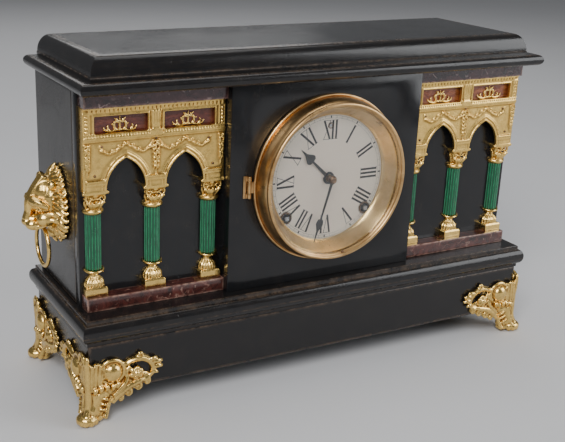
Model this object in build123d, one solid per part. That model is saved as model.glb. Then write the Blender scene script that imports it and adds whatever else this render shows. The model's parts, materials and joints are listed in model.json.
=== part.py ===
from build123d import *
import os
from math import atan2, cos, degrees, pi, radians, sin, sqrt

# Mantel clock with a black wooden case, gilt mounts and a time-and-strike movement.
# Millimetres, +X to the right of the dial, -Y towards the front, +Z up, feet standing on z = 0.

# ---------------------------------------------------------------- driving dimensions
# Case
case_width = 408.0
case_depth = 97.0
case_height = 166.7
case_front_y = -35.7
board = 9.0
back_board_thickness = 8.0
edge_round = 0.6

# Plinth and base moulding
foot_height = 22.8
plinth_height = 40.6
plinth_board = 10.0
plinth_side_reach = 3.7
plinth_front_reach = 27.4
moulding_height = 20.1
moulding_side_reach = 5.3
moulding_front_reach = 4.5
moulding_back_reach = 8.0
moulding_nose = 4.2

# Cornice and top cap
cornice_thickness = 9.1
cornice_side_reach = 6.0
cornice_front_reach = 28.6
cornice_back_reach = 11.1
cap_height = 16.6
cap_inset = 10.8
cap_back_inset = 1.6
cap_step = 2.2
cap_round = 9.4

# Centre panel and marbled strips
panel_width = 176.6
panel_thickness = 18.0
strip_reach = 12.2
strip_end_inset = 1.5
sill_height = 10.8
frieze_height = 11.4
frieze_leaf_height = 22.0
frieze_leaf = 4.6

# Arcades
arcade_reach = 8.2
arcade_sheet = 3.0
arcade_inner_gap = 2.0
arcade_outer_inset = 4.5
border = 4.6
window_head = 6.7
window_height = 12.7
window_to_arch = 19.2
arch_width = 31.0
arch_rise = 23.2
abacus_height = 2.8
abacus_overhang = 1.6
capital_height = 11.7
neck_ring_height = 4.0

# Columns
column_radius = 6.2
column_pitch = 47.5
column_outer_inset = 10.9
base_width = 17.4
base_block_height = 6.8
base_height = 20.3
flute_count = 7
flute_radius = 0.9

# Dial and bezel
dial_height = 169.5
dial_radius = 57.2
dial_thickness = 0.6
dial_opening_radius = 54.0
sight_radius = 51.9
bezel_radius = 69.0
bezel_inner_radius = 60.5
bezel_depth = 18.4
bezel_gap = 0.3
reflector_sheet = 0.8
glass_thickness = 1.5
glass_rise = 2.2
glass_seat_depth = 14.2
hinge_offset = 3.2
hinge_pin_radius = 0.9
hinge_length = 18.0
hinge_knuckle_radius = 1.7
winding_hole_radius = 4.2
regulator_height = 43.0
regulator_radius = 1.3

# Hands, shown at half past ten
minute_hand_length = 53.5
hour_hand_length = 38.0
minute_hand_angle = 196.0
hour_hand_angle = 313.7
hand_thickness = 0.8
hour_hand_clearance = 1.0
hand_gap = 5.4

# Movement
plate_half_width = 64.0
plate_top = 62.0
plate_bottom = -60.0
plate_thickness = 1.6
plate_spacing = 34.0
pivot_radius = 0.8
arbor_radius = 1.2
centre_arbor_radius = 1.5
hour_pipe_radius = 3.0
hour_pipe_wall = 0.9
running_clearance = 0.05
end_shake = 0.2
pillar_radius = 3.0
winding_arbor_radius = 2.6
winding_square = 3.4
great_wheel_x = 37.7
great_wheel_z = -29.9
great_wheel_depth = 2.2
great_wheel_thickness = 2.5
hub_length = 1.6
spring_radius = 25.0
spring_width = 18.0
spring_strip = 0.9
spring_pitch = 2.6
spring_turns = 7

# Wheel work: teeth and modules
great_teeth, great_pinion_teeth, great_module = 65, 10, 0.96
second_teeth, centre_pinion_teeth, second_module = 45, 15, 0.80
centre_teeth, third_pinion_teeth, centre_module = 63, 6, 0.66
third_teeth, escape_pinion_teeth, third_module = 72, 6, 0.53
cannon_teeth, minute_teeth, minute_module = 12, 36, 0.50
minute_pinion_teeth, hour_teeth, hour_module = 10, 40, 0.48
strike_second_teeth, strike_third_pinion_teeth, strike_module = 54, 6, 0.72
strike_third_teeth, fly_pinion_teeth, fly_module = 48, 6, 0.66
escape_teeth = 42
escape_radius = 14.0
escape_height = 33.0
verge_height = 20.0
pallet_clearance = 1.5

strike_second_angle = 77.0
strike_third_angle = 74.0
fly_angle = 140.0
motion_angle = -20.0
pillar_places = [(-52, 52), (52, 52), (-59, 8), (59, 8), (0, -52)]
plate_windows = [(-14, 44, 5), (27, 40, 6), (20, -47, 6), (-20, -47, 6), (59, -25, 2.5), (-59, -25, 2.5)]
stud_radius = 1.0
ratchet_teeth = 16
ratchet_radius = 9.0
spring_depth = 9.0

# Pendulum, gong, hammer
pendulum_length = 115.0
pendulum_y = 17.0
rod_radius = 0.9
bob_radius = 15.0
bob_thickness = 7.0
suspension_gap = 0.4
gong_x = -118.0
gong_y = 30.0
gong_z = 165.0
gong_wire = 1.5
gong_inner_radius = 12.0
gong_pitch = 6.0
gong_turns = 5
hammer_pivot_x = -57.0
hammer_pivot_z = 30.0
hammer_gap = 1.0

# Screws
movement_screws = [(-58, 56), (58, 56), (-58, -54), (58, -54)]
movement_screw_radius = 1.6
movement_head_radius = 3.2
back_screws = [(x, z) for x in (-185, 0, 185) for z in (-76, 74)]
back_screw_radius = 1.8
back_head_radius = 3.4
foot_screw_radius = 1.5
foot_screw_inset = 21.0
foot_head_radius = 3.0

# Rear door
door_hole_radius = 60.0
door_radius = 64.0
door_sheet = 0.8
door_rim = 3.0
door_gap = 0.3
door_pin_radius = 0.8
door_knuckle_radius = 1.5

# Lion masks and rings
mask_y = 8.2
mask_z = 155.0
mask_half_width = 27.0
mask_half_height = 32.0
mask_depth = 11.0
nose_reach = 30.6
ring_radius = 16.0
ring_wire = 1.6
ring_stand_off = 14.3
ring_hang_z = 137.5
mouth_hole_radius = 4.3

# Feet
wing_length = 61.0
wing_thickness = 4.0
foot_flange = 2.5
foot_flange_reach = 26.0
toe_radius = 7.9
toe_offset_x = 3.2
toe_offset_y = 1.4
toe_height = 10.0
boss_radius = 8.4

# ---------------------------------------------------------------- derived places
case_half = case_width / 2
case_back_y = case_front_y + case_depth
plinth_top = foot_height + plinth_height
case_bottom = plinth_top + moulding_height
case_top = case_bottom + case_height
cornice_top = case_top + cornice_thickness
plinth_half = case_half + plinth_side_reach
plinth_front = case_front_y - plinth_front_reach
panel_half = panel_width / 2
panel_front = case_front_y - panel_thickness
strip_front = case_front_y - strip_reach
strip_outer = case_half - strip_end_inset
arcade_front = case_front_y - arcade_reach
arcade_inner_x = panel_half + arcade_inner_gap
arcade_outer_x = case_half - arcade_outer_inset
arcade_top = case_top - frieze_height
column_x = [case_half - column_outer_inset - n * column_pitch for n in range(3)]
sill_top = case_bottom + sill_height
base_top = sill_top + base_height
window_top = arcade_top - window_head
window_bottom = window_top - window_height
arch_apex = window_bottom - window_to_arch
abacus_top = arch_apex - arch_rise
capital_top = abacus_top - abacus_height
neck_top = capital_top - capital_height
shaft_top = neck_top - neck_ring_height
opening_inner_y = case_front_y + board
front_plate_back = opening_inner_y + plate_thickness
back_plate_front = front_plate_back + plate_spacing
back_plate_back = back_plate_front + plate_thickness
verge_z = escape_height + verge_height
toe_x = plinth_half + toe_offset_x
toe_y = plinth_front - toe_offset_y
hinge_x = -(bezel_radius + hinge_offset)
hinge_y = panel_front - hinge_knuckle_radius - 0.2
hour_hand_front = panel_front - dial_thickness - hour_hand_clearance - hand_thickness
minute_hand_front = hour_hand_front - hand_gap - hand_thickness
nut_front = minute_hand_front - 2.0
great_wheel_back = front_plate_back + great_wheel_depth + great_wheel_thickness
gong_outer_radius = gong_inner_radius + gong_pitch * gong_turns + gong_wire
door_hinge_x = -(door_radius + 2.6)
door_hinge_y = case_back_y + 1.9


# ---------------------------------------------------------------- shape helpers
def block(x0, x1, y0, y1, z0, z1):
    """Box between two corners."""
    size = Box(x1 - x0, y1 - y0, z1 - z0)
    return Pos((x0 + x1) / 2, (y0 + y1) / 2, (z0 + z1) / 2) * size


def rod_x(x0, x1, y, z, radius):
    """Cylinder along X."""
    return Pos((x0 + x1) / 2, y, z) * Rot(0, 90, 0) * Cylinder(radius, x1 - x0)


def rod_y(x, z, radius, y0, y1):
    """Cylinder along Y."""
    return Pos(x, (y0 + y1) / 2, z) * Rot(90, 0, 0) * Cylinder(radius, y1 - y0)


def rod_z(x, y, radius, z0, z1):
    """Cylinder along Z."""
    return Pos(x, y, (z0 + z1) / 2) * Cylinder(radius, z1 - z0)


def facing_front(y):
    """Plane at depth y whose sketch x and y are the object's X and Z; it faces the front."""
    return Plane(origin=(0, y, 0), x_dir=(1, 0, 0), z_dir=(0, -1, 0))


def slab(sketch, front, back):
    """A sketch drawn in X and Z, made solid from the depth front to the depth back."""
    return extrude(facing_front(back) * sketch, amount=back - front)


def outline(*points):
    """Face inside a closed polygon."""
    return make_face(Polyline(*points, close=True))


def turned_z(points, x, y):
    """Solid of revolution about a vertical axis, from (radius, height) points."""
    profile = Plane.XZ * outline(*points)
    return Pos(x, y, 0) * revolve(profile, Axis.Z)


def turned_y(points, x, z):
    """Solid of revolution about an axis along Y, from (radius, depth y) points."""
    profile = outline(*points)
    return Pos(x, 0, z) * revolve(profile, Axis.Y)


def front_half(shape, y):
    """The part of a shape in front of the depth y."""
    size = shape.bounding_box()
    keep = block(size.min.X - 1, size.max.X + 1, size.min.Y - 1, y, size.min.Z - 1, size.max.Z + 1)
    return shape & keep


def both_sides(shape):
    """A shape and its mirror image across the middle of the clock."""
    return [shape, mirror(shape, Plane.YZ)]


def gear(teeth, module, phase, slim=0.40):
    """Toothed outline about the origin; phase is the direction in degrees of one tooth."""
    pitch = module * teeth / 2
    step = 2 * pi / teeth
    rings = [(pitch - 1.15 * module, 0.30), (pitch, slim / 2), (pitch + 0.75 * module, 0.09)]
    points = []
    for n in range(teeth):
        middle = radians(phase) + n * step
        rise = [(r, -w) for r, w in rings] + [(r, w) for r, w in reversed(rings)]
        points += [(r * cos(middle + w * step), r * sin(middle + w * step)) for r, w in rise]
    return outline(*points)


def placed(sketch, x, z):
    """A movement sketch moved to its arbor; x and z are measured from the dial centre."""
    return Pos(x, dial_height + z) * sketch


def wheel(teeth, module, phase, x, z, depth, thickness, hub, bore=0.0, spokes=4):
    """Crossed-out toothed wheel whose front face is at a depth behind the front plate."""
    face = gear(teeth, module, phase)
    rim = module * teeth / 2 - 3.2 * module
    if rim > hub + 4:
        face -= Circle(rim)
        face += Circle(hub)
        for n in range(spokes):
            face += Rot(0, 0, n * 360 / spokes) * Pos((rim + hub) / 2, 0) * Rectangle(rim - hub + 1.2, 2.2)
    if bore:
        face -= Circle(bore)
    y = front_plate_back + depth
    return slab(placed(face, x, z), y, y + thickness)


def pinion(teeth, module, phase, x, z, depth, length):
    """Solid pinion starting at a depth behind the front plate."""
    y = front_plate_back + depth
    return slab(placed(gear(teeth, module, phase, slim=0.34), x, z), y, y + length)


def arbor(x, z, radius=arbor_radius):
    """Arbor between the plates, with a pivot through each plate."""
    front = opening_inner_y + 0.1
    back = back_plate_back + 0.4
    body = rod_y(x, dial_height + z, radius, front_plate_back + end_shake, back_plate_front - end_shake)
    return body + rod_y(x, dial_height + z, pivot_radius, front, back)


def heading(x0, z0, x1, z1):
    """Direction in degrees from one arbor to another."""
    return degrees(atan2(z1 - z0, x1 - x0))


def meeting_point(ax, az, ra, bx, bz, rb, side):
    """Arbor at distance ra from a and rb from b, on the chosen side of the line between them."""
    span = sqrt((bx - ax) ** 2 + (bz - az) ** 2)
    along = (ra ** 2 - rb ** 2 + span ** 2) / (2 * span)
    off = side * sqrt(ra ** 2 - along ** 2)
    ux, uz = (bx - ax) / span, (bz - az) / span
    return ax + along * ux - off * uz, az + along * uz + off * ux


# Arbor places, from the dial centre
great_reach = great_module * (great_teeth + great_pinion_teeth) / 2
second_reach = second_module * (second_teeth + centre_pinion_teeth) / 2
centre_reach = centre_module * (centre_teeth + third_pinion_teeth) / 2
third_reach = third_module * (third_teeth + escape_pinion_teeth) / 2
motion_reach = minute_module * (cannon_teeth + minute_teeth) / 2
strike_reach = strike_module * (strike_second_teeth + strike_third_pinion_teeth) / 2
fly_reach = fly_module * (strike_third_teeth + fly_pinion_teeth) / 2
great_right = (great_wheel_x, great_wheel_z)
great_left = (-great_wheel_x, great_wheel_z)
second_at = meeting_point(0, 0, second_reach, *great_right, great_reach, -1)
third_at = meeting_point(0, 0, centre_reach, 0, escape_height, third_reach, -1)
strike_second_at = (great_left[0] + great_reach * cos(radians(strike_second_angle)),
                    great_left[1] + great_reach * sin(radians(strike_second_angle)))
strike_third_at = (strike_second_at[0] + strike_reach * cos(radians(strike_third_angle)),
                   strike_second_at[1] + strike_reach * sin(radians(strike_third_angle)))
fly_at = (strike_third_at[0] + fly_reach * cos(radians(fly_angle)),
          strike_third_at[1] + fly_reach * sin(radians(fly_angle)))
minute_wheel_at = (motion_reach * cos(radians(motion_angle)), motion_reach * sin(radians(motion_angle)))
hammer_at = (hammer_pivot_x, hammer_pivot_z)
plate_pivots = [(0, 0), second_at, third_at, (0, escape_height), strike_second_at, strike_third_at,
                fly_at, (0, verge_z), hammer_at]


# ---------------------------------------------------------------- case
def plinth_boards():
    """Four mitred boards that make the plinth."""
    z0, z1 = foot_height, plinth_top
    y0, y1 = plinth_front, case_back_y
    x1 = plinth_half
    t = plinth_board
    front = outline((-x1, y0), (x1, y0), (x1 - t, y0 + t), (-x1 + t, y0 + t))
    back = outline((-x1, y1), (-x1 + t, y1 - t), (x1 - t, y1 - t), (x1, y1))
    end = outline((x1, y0), (x1, y1), (x1 - t, y1 - t), (x1 - t, y0 + t))
    boards = [extrude(Plane.XY.offset(z0) * face, amount=z1 - z0) for face in (front, back)]
    boards += both_sides(extrude(Plane.XY.offset(z0) * end, amount=z1 - z0))
    holes = [foot_screw_hole(x, y) for x, y in foot_screw_places()]
    return [board_solid - holes for board_solid in boards]


def run_x(points, half):
    """Profile of (y, z) points run along X between plus and minus half."""
    face = Plane(origin=(-half, 0, 0), x_dir=(0, 1, 0), z_dir=(1, 0, 0)) * outline(*points)
    return extrude(face, amount=2 * half)


def run_y(points, y0, y1):
    """Profile of (x, z) points run along Y."""
    return slab(outline(*points), y0, y1)


def nose(position, sign, z0, z1, depth, steps=5):
    """Points of a half-round nose that bulges outwards between two heights."""
    middle, half = (z0 + z1) / 2, (z1 - z0) / 2
    angles = [-pi / 2 + pi * n / (2 * steps) for n in range(2 * steps + 1)]
    return [(position + sign * depth * cos(a), middle + half * sin(a)) for a in angles]


def moulded_board(x_half, y0, y1, z0, z1, nose_bottom, nose_top, depth):
    """Board whose four edges carry the same half-round nose."""
    right = nose(x_half - depth, 1, nose_bottom, nose_top, depth)
    left = [(-x, z) for x, z in reversed(right)]
    across = [(x_half - depth, z0)] + right + [(x_half - depth, z1)]
    across += [(-x_half + depth, z1)] + left + [(-x_half + depth, z0)]
    back = nose(y1 - depth, 1, nose_bottom, nose_top, depth)
    front = list(reversed(nose(y0 + depth, -1, nose_bottom, nose_top, depth)))
    along = [(y1 - depth, z0)] + back + [(y1 - depth, z1), (y0 + depth, z1)] + front + [(y0 + depth, z0)]
    return run_y(unique(across), y0, y1) & run_x(unique(along), x_half)


def unique(points):
    """Points with neighbours that coincide dropped."""
    kept = [points[0]]
    for point in points[1:]:
        if abs(point[0] - kept[-1][0]) + abs(point[1] - kept[-1][1]) > 0.01:
            kept.append(point)
    return kept


def base_moulding():
    """Bottom board of the case with its moulded edge."""
    x_half = plinth_half + moulding_side_reach
    y0 = plinth_front - moulding_front_reach
    y1 = case_back_y + moulding_back_reach
    nose_top = case_bottom - 3.2
    return moulded_board(x_half, y0, y1, plinth_top, case_bottom, plinth_top + 3.0, nose_top, moulding_nose)


def cornice_board():
    """Board with a bullnose edge that closes the top of the case."""
    x_half = case_half + cornice_side_reach
    y0 = case_front_y - cornice_front_reach
    y1 = case_back_y + cornice_back_reach
    return moulded_board(x_half, y0, y1, case_top, cornice_top, case_top, cornice_top, cornice_thickness / 2)


def top_cap():
    """Moulded cap on the cornice: a short upright edge, then a quarter round up to the flat top."""
    x1 = case_half + cornice_side_reach - cap_inset
    y0 = case_front_y - cornice_front_reach + cap_inset
    y1 = case_back_y + cornice_back_reach - cap_back_inset
    z0, z1 = cornice_top, cornice_top + cap_height
    rise = cap_height - cap_step
    arc = [(cap_round * (1 - cos(a)), rise * sin(a)) for a in [pi / 16 * n for n in range(9)]]
    right = [(x1 - inward, z0 + cap_step + up) for inward, up in arc]
    left = [(-x, z) for x, z in reversed(right)]
    across = [(x1, z0)] + right + left + [(-x1, z0)]
    back = [(y1 - inward, z0 + cap_step + up) for inward, up in arc]
    front = [(y0 + inward, z0 + cap_step + up) for inward, up in reversed(arc)]
    along = [(y1, z0)] + back + front + [(y0, z0)]
    return run_y(unique(across), y0, y1) & run_x(unique(along), x1)


def front_board():
    """Board across the whole front, opened behind the dial."""
    body = block(-case_half, case_half, case_front_y, opening_inner_y, case_bottom, case_top)
    body -= rod_y(0, dial_height, dial_opening_radius, case_front_y - 1, opening_inner_y + 1)
    body -= [movement_screw_hole(x, z) for x, z in movement_screws]
    return body


def front_panel():
    """Proud centre panel that carries the dial and the bezel."""
    body = block(-panel_half, panel_half, panel_front, case_front_y, case_bottom, case_top)
    edges = body.edges().filter_by(Axis.Z).group_by(Axis.Y)[0]
    body = fillet(edges, edge_round)
    return body - rod_y(0, dial_height, dial_opening_radius, panel_front - 1, case_front_y + 1)


def side_board():
    """Right-hand side board."""
    return block(case_half - board, case_half, opening_inner_y, case_back_y, case_bottom, case_top)


def back_board():
    """Back board between the side boards, with the round access hole."""
    x1 = case_half - board
    y0 = case_back_y - back_board_thickness
    body = block(-x1, x1, y0, case_back_y, case_bottom, case_top)
    body -= rod_y(0, dial_height, door_hole_radius, y0 - 1, case_back_y + 1)
    return body - [back_screw_hole(x, z) for x, z in back_screws]


def sill_strip():
    """Right-hand marbled strip under the columns."""
    return block(panel_half, strip_outer, strip_front, case_front_y, case_bottom, sill_top)


def frieze_strip():
    """Right-hand marbled strip over the arcade; its thin leaf runs down behind the arcade windows."""
    z0 = arcade_top
    upper = block(panel_half, strip_outer, strip_front, case_front_y, z0, case_top)
    x0, x1 = arcade_inner_x + arcade_sheet, arcade_outer_x - arcade_sheet
    leaf = block(x0, x1, case_front_y - frieze_leaf, case_front_y, z0 - frieze_leaf_height, z0)
    return upper + leaf


# ---------------------------------------------------------------- arcade and columns
def pointed_arch(centre, apex, width, rise):
    """Outline of a pointed arch opening, open down to the abacus."""
    half = width / 2
    radius = (rise ** 2 + half ** 2) / (2 * half)
    left, right = (centre - half, apex - rise), (centre + half, apex - rise)
    bulge = radius - sqrt(radius ** 2 - (rise ** 2 + half ** 2) / 4)
    length = sqrt(rise ** 2 + half ** 2)
    mid_left = (centre - half / 2 - bulge * rise / length, apex - rise / 2 + bulge * half / length)
    mid_right = (centre + half / 2 + bulge * rise / length, mid_left[1])
    curve = [ThreePointArc(left, mid_left, (centre, apex)), ThreePointArc((centre, apex), mid_right, right)]
    return make_face(Curve() + curve + [Line(right, left)])


def arcade():
    """Right-hand gilt arcade: framed windows over two pointed arches, with the three capitals."""
    x0, x1 = arcade_inner_x, arcade_outer_x
    face = Pos((x0 + x1) / 2, (abacus_top + arcade_top) / 2) * Rectangle(x1 - x0, arcade_top - abacus_top)
    middle = column_x[1]
    for a, b in ((x0 + border, middle - border), (middle + border, x1 - border)):
        opening = Rectangle(b - a, window_height)
        face -= Pos((a + b) / 2, (window_top + window_bottom) / 2) * opening
    for left, right in ((column_x[2], column_x[1]), (column_x[1], column_x[0])):
        face -= pointed_arch((left + right) / 2, arch_apex, arch_width, arch_rise)
    body = slab(face, arcade_front, arcade_front + arcade_sheet)
    cornice_z = window_bottom - border
    body += block(x0 - 0.8, x1 + 0.8, arcade_front - 1.2, arcade_front + arcade_sheet,
                  cornice_z, cornice_z + 2.4)
    for x in (x0, x1 - arcade_sheet):
        body += block(x, x + arcade_sheet, arcade_front, case_front_y, abacus_top, arcade_top)
    for x in column_x:
        body += capital(x)
    return body


def capital(x):
    """Half-round capital with its neck ring and abacus, against the front board."""
    half = base_width / 2 + abacus_overhang - 1.0
    r = column_radius
    body = block(x - half, x + half, arcade_front - 0.6, case_front_y, capital_top, abacus_top + 0.6)
    bell = turned_z([(0, neck_top), (r + 0.6, neck_top), (r + 0.8, neck_top + 5), (r + 2.0, capital_top),
                     (0, capital_top)], x, case_front_y)
    neck = turned_z([(0, shaft_top), (r + 1.2, shaft_top), (r + 2.0, shaft_top + 1.2),
                     (r + 2.0, neck_top - 1.2), (r + 1.0, neck_top), (0, neck_top)], x, case_front_y)
    return body + front_half(bell + neck, case_front_y)


def column(x):
    """Green fluted half column between its base and its capital."""
    body = rod_z(x, case_front_y, column_radius, base_top, shaft_top)
    for n in range(flute_count):
        angle = pi + pi * (n + 0.5) / flute_count
        fx, fy = x + column_radius * cos(angle), case_front_y + column_radius * sin(angle)
        body -= rod_z(fx, fy, flute_radius, base_top - 1, shaft_top + 1)
    return front_half(body, case_front_y)


def column_base(x):
    """Gilt base: square block, spreading bell, narrow neck and top ring."""
    half = base_width / 2
    z0, z1 = sill_top, sill_top + base_block_height
    block_solid = block(x - half, x + half, case_front_y - half + 0.8, case_front_y, z0, z1)
    r = column_radius
    bell = turned_z([(0, z1), (half - 0.4, z1), (half - 1.2, z1 + 3.6), (r - 0.4, z1 + 7.2),
                     (r - 1.0, base_top - 4.6), (r - 0.2, base_top - 3.2), (r + 2.0, base_top - 2.2),
                     (r + 2.0, base_top - 0.6), (r + 1.2, base_top), (0, base_top)], x, case_front_y)
    return block_solid + front_half(bell, case_front_y)


# ---------------------------------------------------------------- feet
def wing():
    """Outline of a foot's scrolled wing; the first coordinate runs inwards from the case corner."""
    along = [wing_length * n / 61 for n in (0, 7, 13, 20, 28, 36, 43, 52, 61)]
    crest = Spline(*zip(along, (57.0, 53.5, 46.5, 49.5, 46.5, 46.0, 48.0, 42.5, 35.5)))
    tip = crest @ 1
    under = Spline(tip, (wing_length - 2, 29.5), (wing_length - 13, 22.5), (wing_length - 25, 20.0),
                   (26, 15.5), (16, 12.5))
    return make_face(Curve() + [crest, under, Line((16, 12.5), (0, 12.5)), Line((0, 12.5), (0, 57.0))])


def foot():
    """Back right-hand foot before it is turned to its corner: two wings, flange, splayed leg and toe."""
    t = wing_thickness
    x0, y0 = plinth_half, plinth_front
    front = extrude(Plane(origin=(x0, y0, 0), x_dir=(-1, 0, 0), z_dir=(0, 1, 0)) * wing(), amount=-t)
    side = extrude(Plane(origin=(x0, y0, 0), x_dir=(0, 1, 0), z_dir=(1, 0, 0)) * wing(), amount=t)
    corner = block(x0, x0 + t, y0 - t, y0, 12.5, 57.0)
    reach = foot_flange_reach
    flange = block(x0 - reach, x0, y0, y0 + reach, foot_height - foot_flange, foot_height)
    leg_top = Pos(x0 - 5, y0 + 5, foot_height - 1) * Rectangle(17.8, 17.8)
    leg_bottom = Pos(toe_x - 0.5, toe_y + 0.5, 4.0) * Rectangle(9.0, 9.0)
    leg = loft([leg_bottom, leg_top])
    toe = Pos(toe_x, toe_y, toe_height / 2) * Cylinder(toe_radius, toe_height)
    toe = fillet(toe.edges(), 2.6)
    boss = Pos(x0 - 21.4, y0 - 0.4, 40.3) * Sphere(boss_radius)
    boss &= block(x0 - 40, x0, y0 - 20, y0, 25, 60)
    body = front + side + corner + flange + leg + toe + boss
    return body - [foot_screw_hole(x, y) for x, y in foot_screw_places()]


def feet():
    """The four feet, each mirrored to its own corner."""
    front_right = foot()
    middle_y = (plinth_front + case_back_y) / 2
    back_right = mirror(front_right, Plane.XZ.offset(-middle_y))
    return {
        "foot_front_right": front_right,
        "foot_front_left": mirror(front_right, Plane.YZ),
        "foot_back_right": back_right,
        "foot_back_left": mirror(back_right, Plane.YZ),
    }


# ---------------------------------------------------------------- lion masks and rings
def lion_mask():
    """Right-hand mask: mane, brow and muzzle, bored sideways for its ring."""
    wall = case_half
    mane = Pos(wall, mask_y, mask_z) * ellipsoid(mask_depth, mask_half_width, mask_half_height)
    brow = Pos(wall + 6, mask_y, mask_z + 5) * ellipsoid(16, 15, 16)
    muzzle = Pos(wall + nose_reach - 17, mask_y, mask_z - 13.5) * ellipsoid(17, 9, 12.5)
    body = mane + brow + muzzle
    body &= block(wall, wall + 60, mask_y - 60, mask_y + 60, mask_z - 60, mask_z + 60)
    return body - mouth_hole()


def ellipsoid(rx, ry, rz):
    """Ellipsoid about the origin."""
    return scale(Sphere(1.0), by=(rx, ry, rz))


def mouth_hole():
    """Bore through the muzzle that the ring hangs in."""
    return rod_y(case_half + ring_stand_off, ring_hang_z, mouth_hole_radius, mask_y - 30, mask_y + 30)


def mask_ring():
    """Right-hand ring, hanging from the mouth."""
    centre = Pos(case_half + ring_stand_off, mask_y, ring_hang_z - ring_radius)
    return centre * Rot(0, 90, 0) * Torus(ring_radius, ring_wire)


# ---------------------------------------------------------------- dial, bezel and hands
def dial_plate():
    """Dial disc with its centre hole, two winding holes and the regulator hole."""
    body = rod_y(0, dial_height, dial_radius, panel_front - dial_thickness, panel_front)
    holes = [(0, 0, hour_pipe_radius + 0.6), (*great_left, winding_hole_radius),
             (*great_right, winding_hole_radius), (0, regulator_height, regulator_radius + 0.4)]
    for x, z, radius in holes:
        body -= rod_y(x, dial_height + z, radius, panel_front - dial_thickness - 1, panel_front + 1)
    return body


def bezel_ring():
    """Turned brass bezel with a rounded crest."""
    r0, r1, face = bezel_inner_radius, bezel_radius, panel_front - bezel_gap
    depth = bezel_depth - bezel_gap
    crest = face - depth
    points = [(r0, face), (r1, face), (r1, face - 2.2), (r1 - 1.8, face - 5.2), (r1 - 3.2, crest + 6.0),
              (r1 - 4.0, crest + 1.4), (r1 - 5.0, crest), (r1 - 7.0, crest), (r1 - 7.8, crest + 1.0), (r0, crest + 3.2)]
    return turned_y(points, 0, dial_height)


def bezel_glass():
    """Slightly domed glass seated in the bezel."""
    y = panel_front - glass_seat_depth
    chord = bezel_inner_radius
    radius = (chord ** 2 + glass_rise ** 2) / (2 * glass_rise)
    ball = Pos(0, y - glass_rise + radius, dial_height) * Sphere(radius)
    inner = Pos(0, y - glass_rise + radius + glass_thickness, dial_height) * Sphere(radius)
    disc = rod_y(0, dial_height, chord, y - glass_rise - 1, y + glass_thickness)
    return (disc & ball) - inner


def reflector_ring():
    """Gilt sloping ring between the glass and the dial."""
    back = panel_front - dial_thickness - 0.5
    front = panel_front - glass_seat_depth + glass_thickness + 0.2
    s = reflector_sheet
    points = [(sight_radius, back), (sight_radius + s, back), (bezel_inner_radius, front + 1.0),
              (bezel_inner_radius, front), (bezel_inner_radius - s, front), (sight_radius, back - s)]
    return turned_y(points, 0, dial_height)


def bezel_hinge():
    """Fixed leaf and pin of the bezel hinge, on the panel."""
    z0, z1 = dial_height - hinge_length / 2, dial_height + hinge_length / 2
    leaf = block(hinge_x - 9, hinge_x - 2.1, panel_front - 0.8, panel_front, z0, z1)
    pin = rod_z(hinge_x, hinge_y, hinge_pin_radius, z0, z1)
    knuckles = [rod_z(hinge_x, hinge_y, hinge_knuckle_radius, a, a + 4.0) for a in (z0, z1 - 4.0)]
    webs = [block(hinge_x - 2.6, hinge_x + 0.4, hinge_y, panel_front, a, a + 4.0) for a in (z0, z1 - 4.0)]
    return leaf + knuckles + webs + pin


def bezel_knuckle():
    """Moving knuckle of the hinge, a lug of the bezel ring."""
    z0, z1 = dial_height - hinge_length / 2 + 4.3, dial_height + hinge_length / 2 - 4.3
    barrel = rod_z(hinge_x, hinge_y, hinge_knuckle_radius, z0, z1)
    lug = block(hinge_x, -bezel_inner_radius - 6, hinge_y - 1.2, hinge_y + 0.2, z0, z1)
    return barrel + lug - rod_z(hinge_x, hinge_y, hinge_pin_radius + running_clearance, z0 - 1, z1 + 1)


def bezel_catch():
    """Spring catch tab at the right edge of the bezel."""
    z0, z1 = dial_height - 17.0, dial_height - 5.0
    x0 = sqrt(bezel_radius ** 2 - 17.0 ** 2)
    tab = block(x0 - 3, bezel_radius + 5.0, panel_front - 1.7, panel_front - 0.5, z0, z1)
    return tab - rod_y(0, dial_height, bezel_radius, panel_front - 20, panel_front)


def hand(length, width, hole, angle, front):
    """Spade hand pointing at an angle clockwise from twelve, with its boss."""
    spade = length * 0.72
    left = [(-width / 3, 0), (-width / 2.4, spade * 0.86), (-width * 1.25, spade), (-width / 2, spade + 4.0)]
    points = left + [(0, length)] + [(-x, y) for x, y in reversed(left)]
    tail = Pos(0, -3.5) * Rectangle(width * 0.9, 7.0)
    face = outline(*points) + tail + Circle(hole + 2.2) - Circle(hole)
    turned = Pos(0, dial_height) * Rot(0, 0, -angle) * face
    return slab(turned, front, front + hand_thickness)


def hour_hand():
    return hand(hour_hand_length, 3.4, hour_pipe_radius, hour_hand_angle, hour_hand_front)


def minute_hand():
    """Minute hand on a collet that lifts it clear of the hour hand."""
    blade = hand(minute_hand_length, 2.8, centre_arbor_radius, minute_hand_angle, minute_hand_front)
    back = minute_hand_front + hand_thickness
    collet = rod_y(0, dial_height, centre_arbor_radius + 1.5, back, back + hand_gap - 0.8)
    return blade + collet - rod_y(0, dial_height, centre_arbor_radius, minute_hand_front - 1, back + hand_gap)


def hand_nut():
    """Round nut that holds the minute hand."""
    points = [(0, nut_front), (1.8, nut_front), (3.0, nut_front + 0.9), (3.0, minute_hand_front)]
    return turned_y(points + [(0, minute_hand_front)], 0, dial_height)


# ---------------------------------------------------------------- movement
def movement_plate(front, back):
    """Brass plate with round-ended windows, bored for the pivots."""
    width, height = 2 * plate_half_width, plate_top - plate_bottom
    face = Pos(0, (plate_top + plate_bottom) / 2) * RectangleRounded(width, height, 6)
    for x, z, radius in plate_windows:
        face -= Pos(x, z) * Circle(radius)
    for x, z in plate_pivots:
        face -= Pos(x, z) * Circle(pivot_radius + running_clearance)
    for x, z in (great_left, great_right):
        face -= Pos(x, z) * Circle(winding_arbor_radius + running_clearance)
    for x, z in movement_screws:
        face -= Pos(x, z) * Circle(movement_screw_radius + 0.1)
    return slab(placed(face, 0, 0), front, back)


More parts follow.
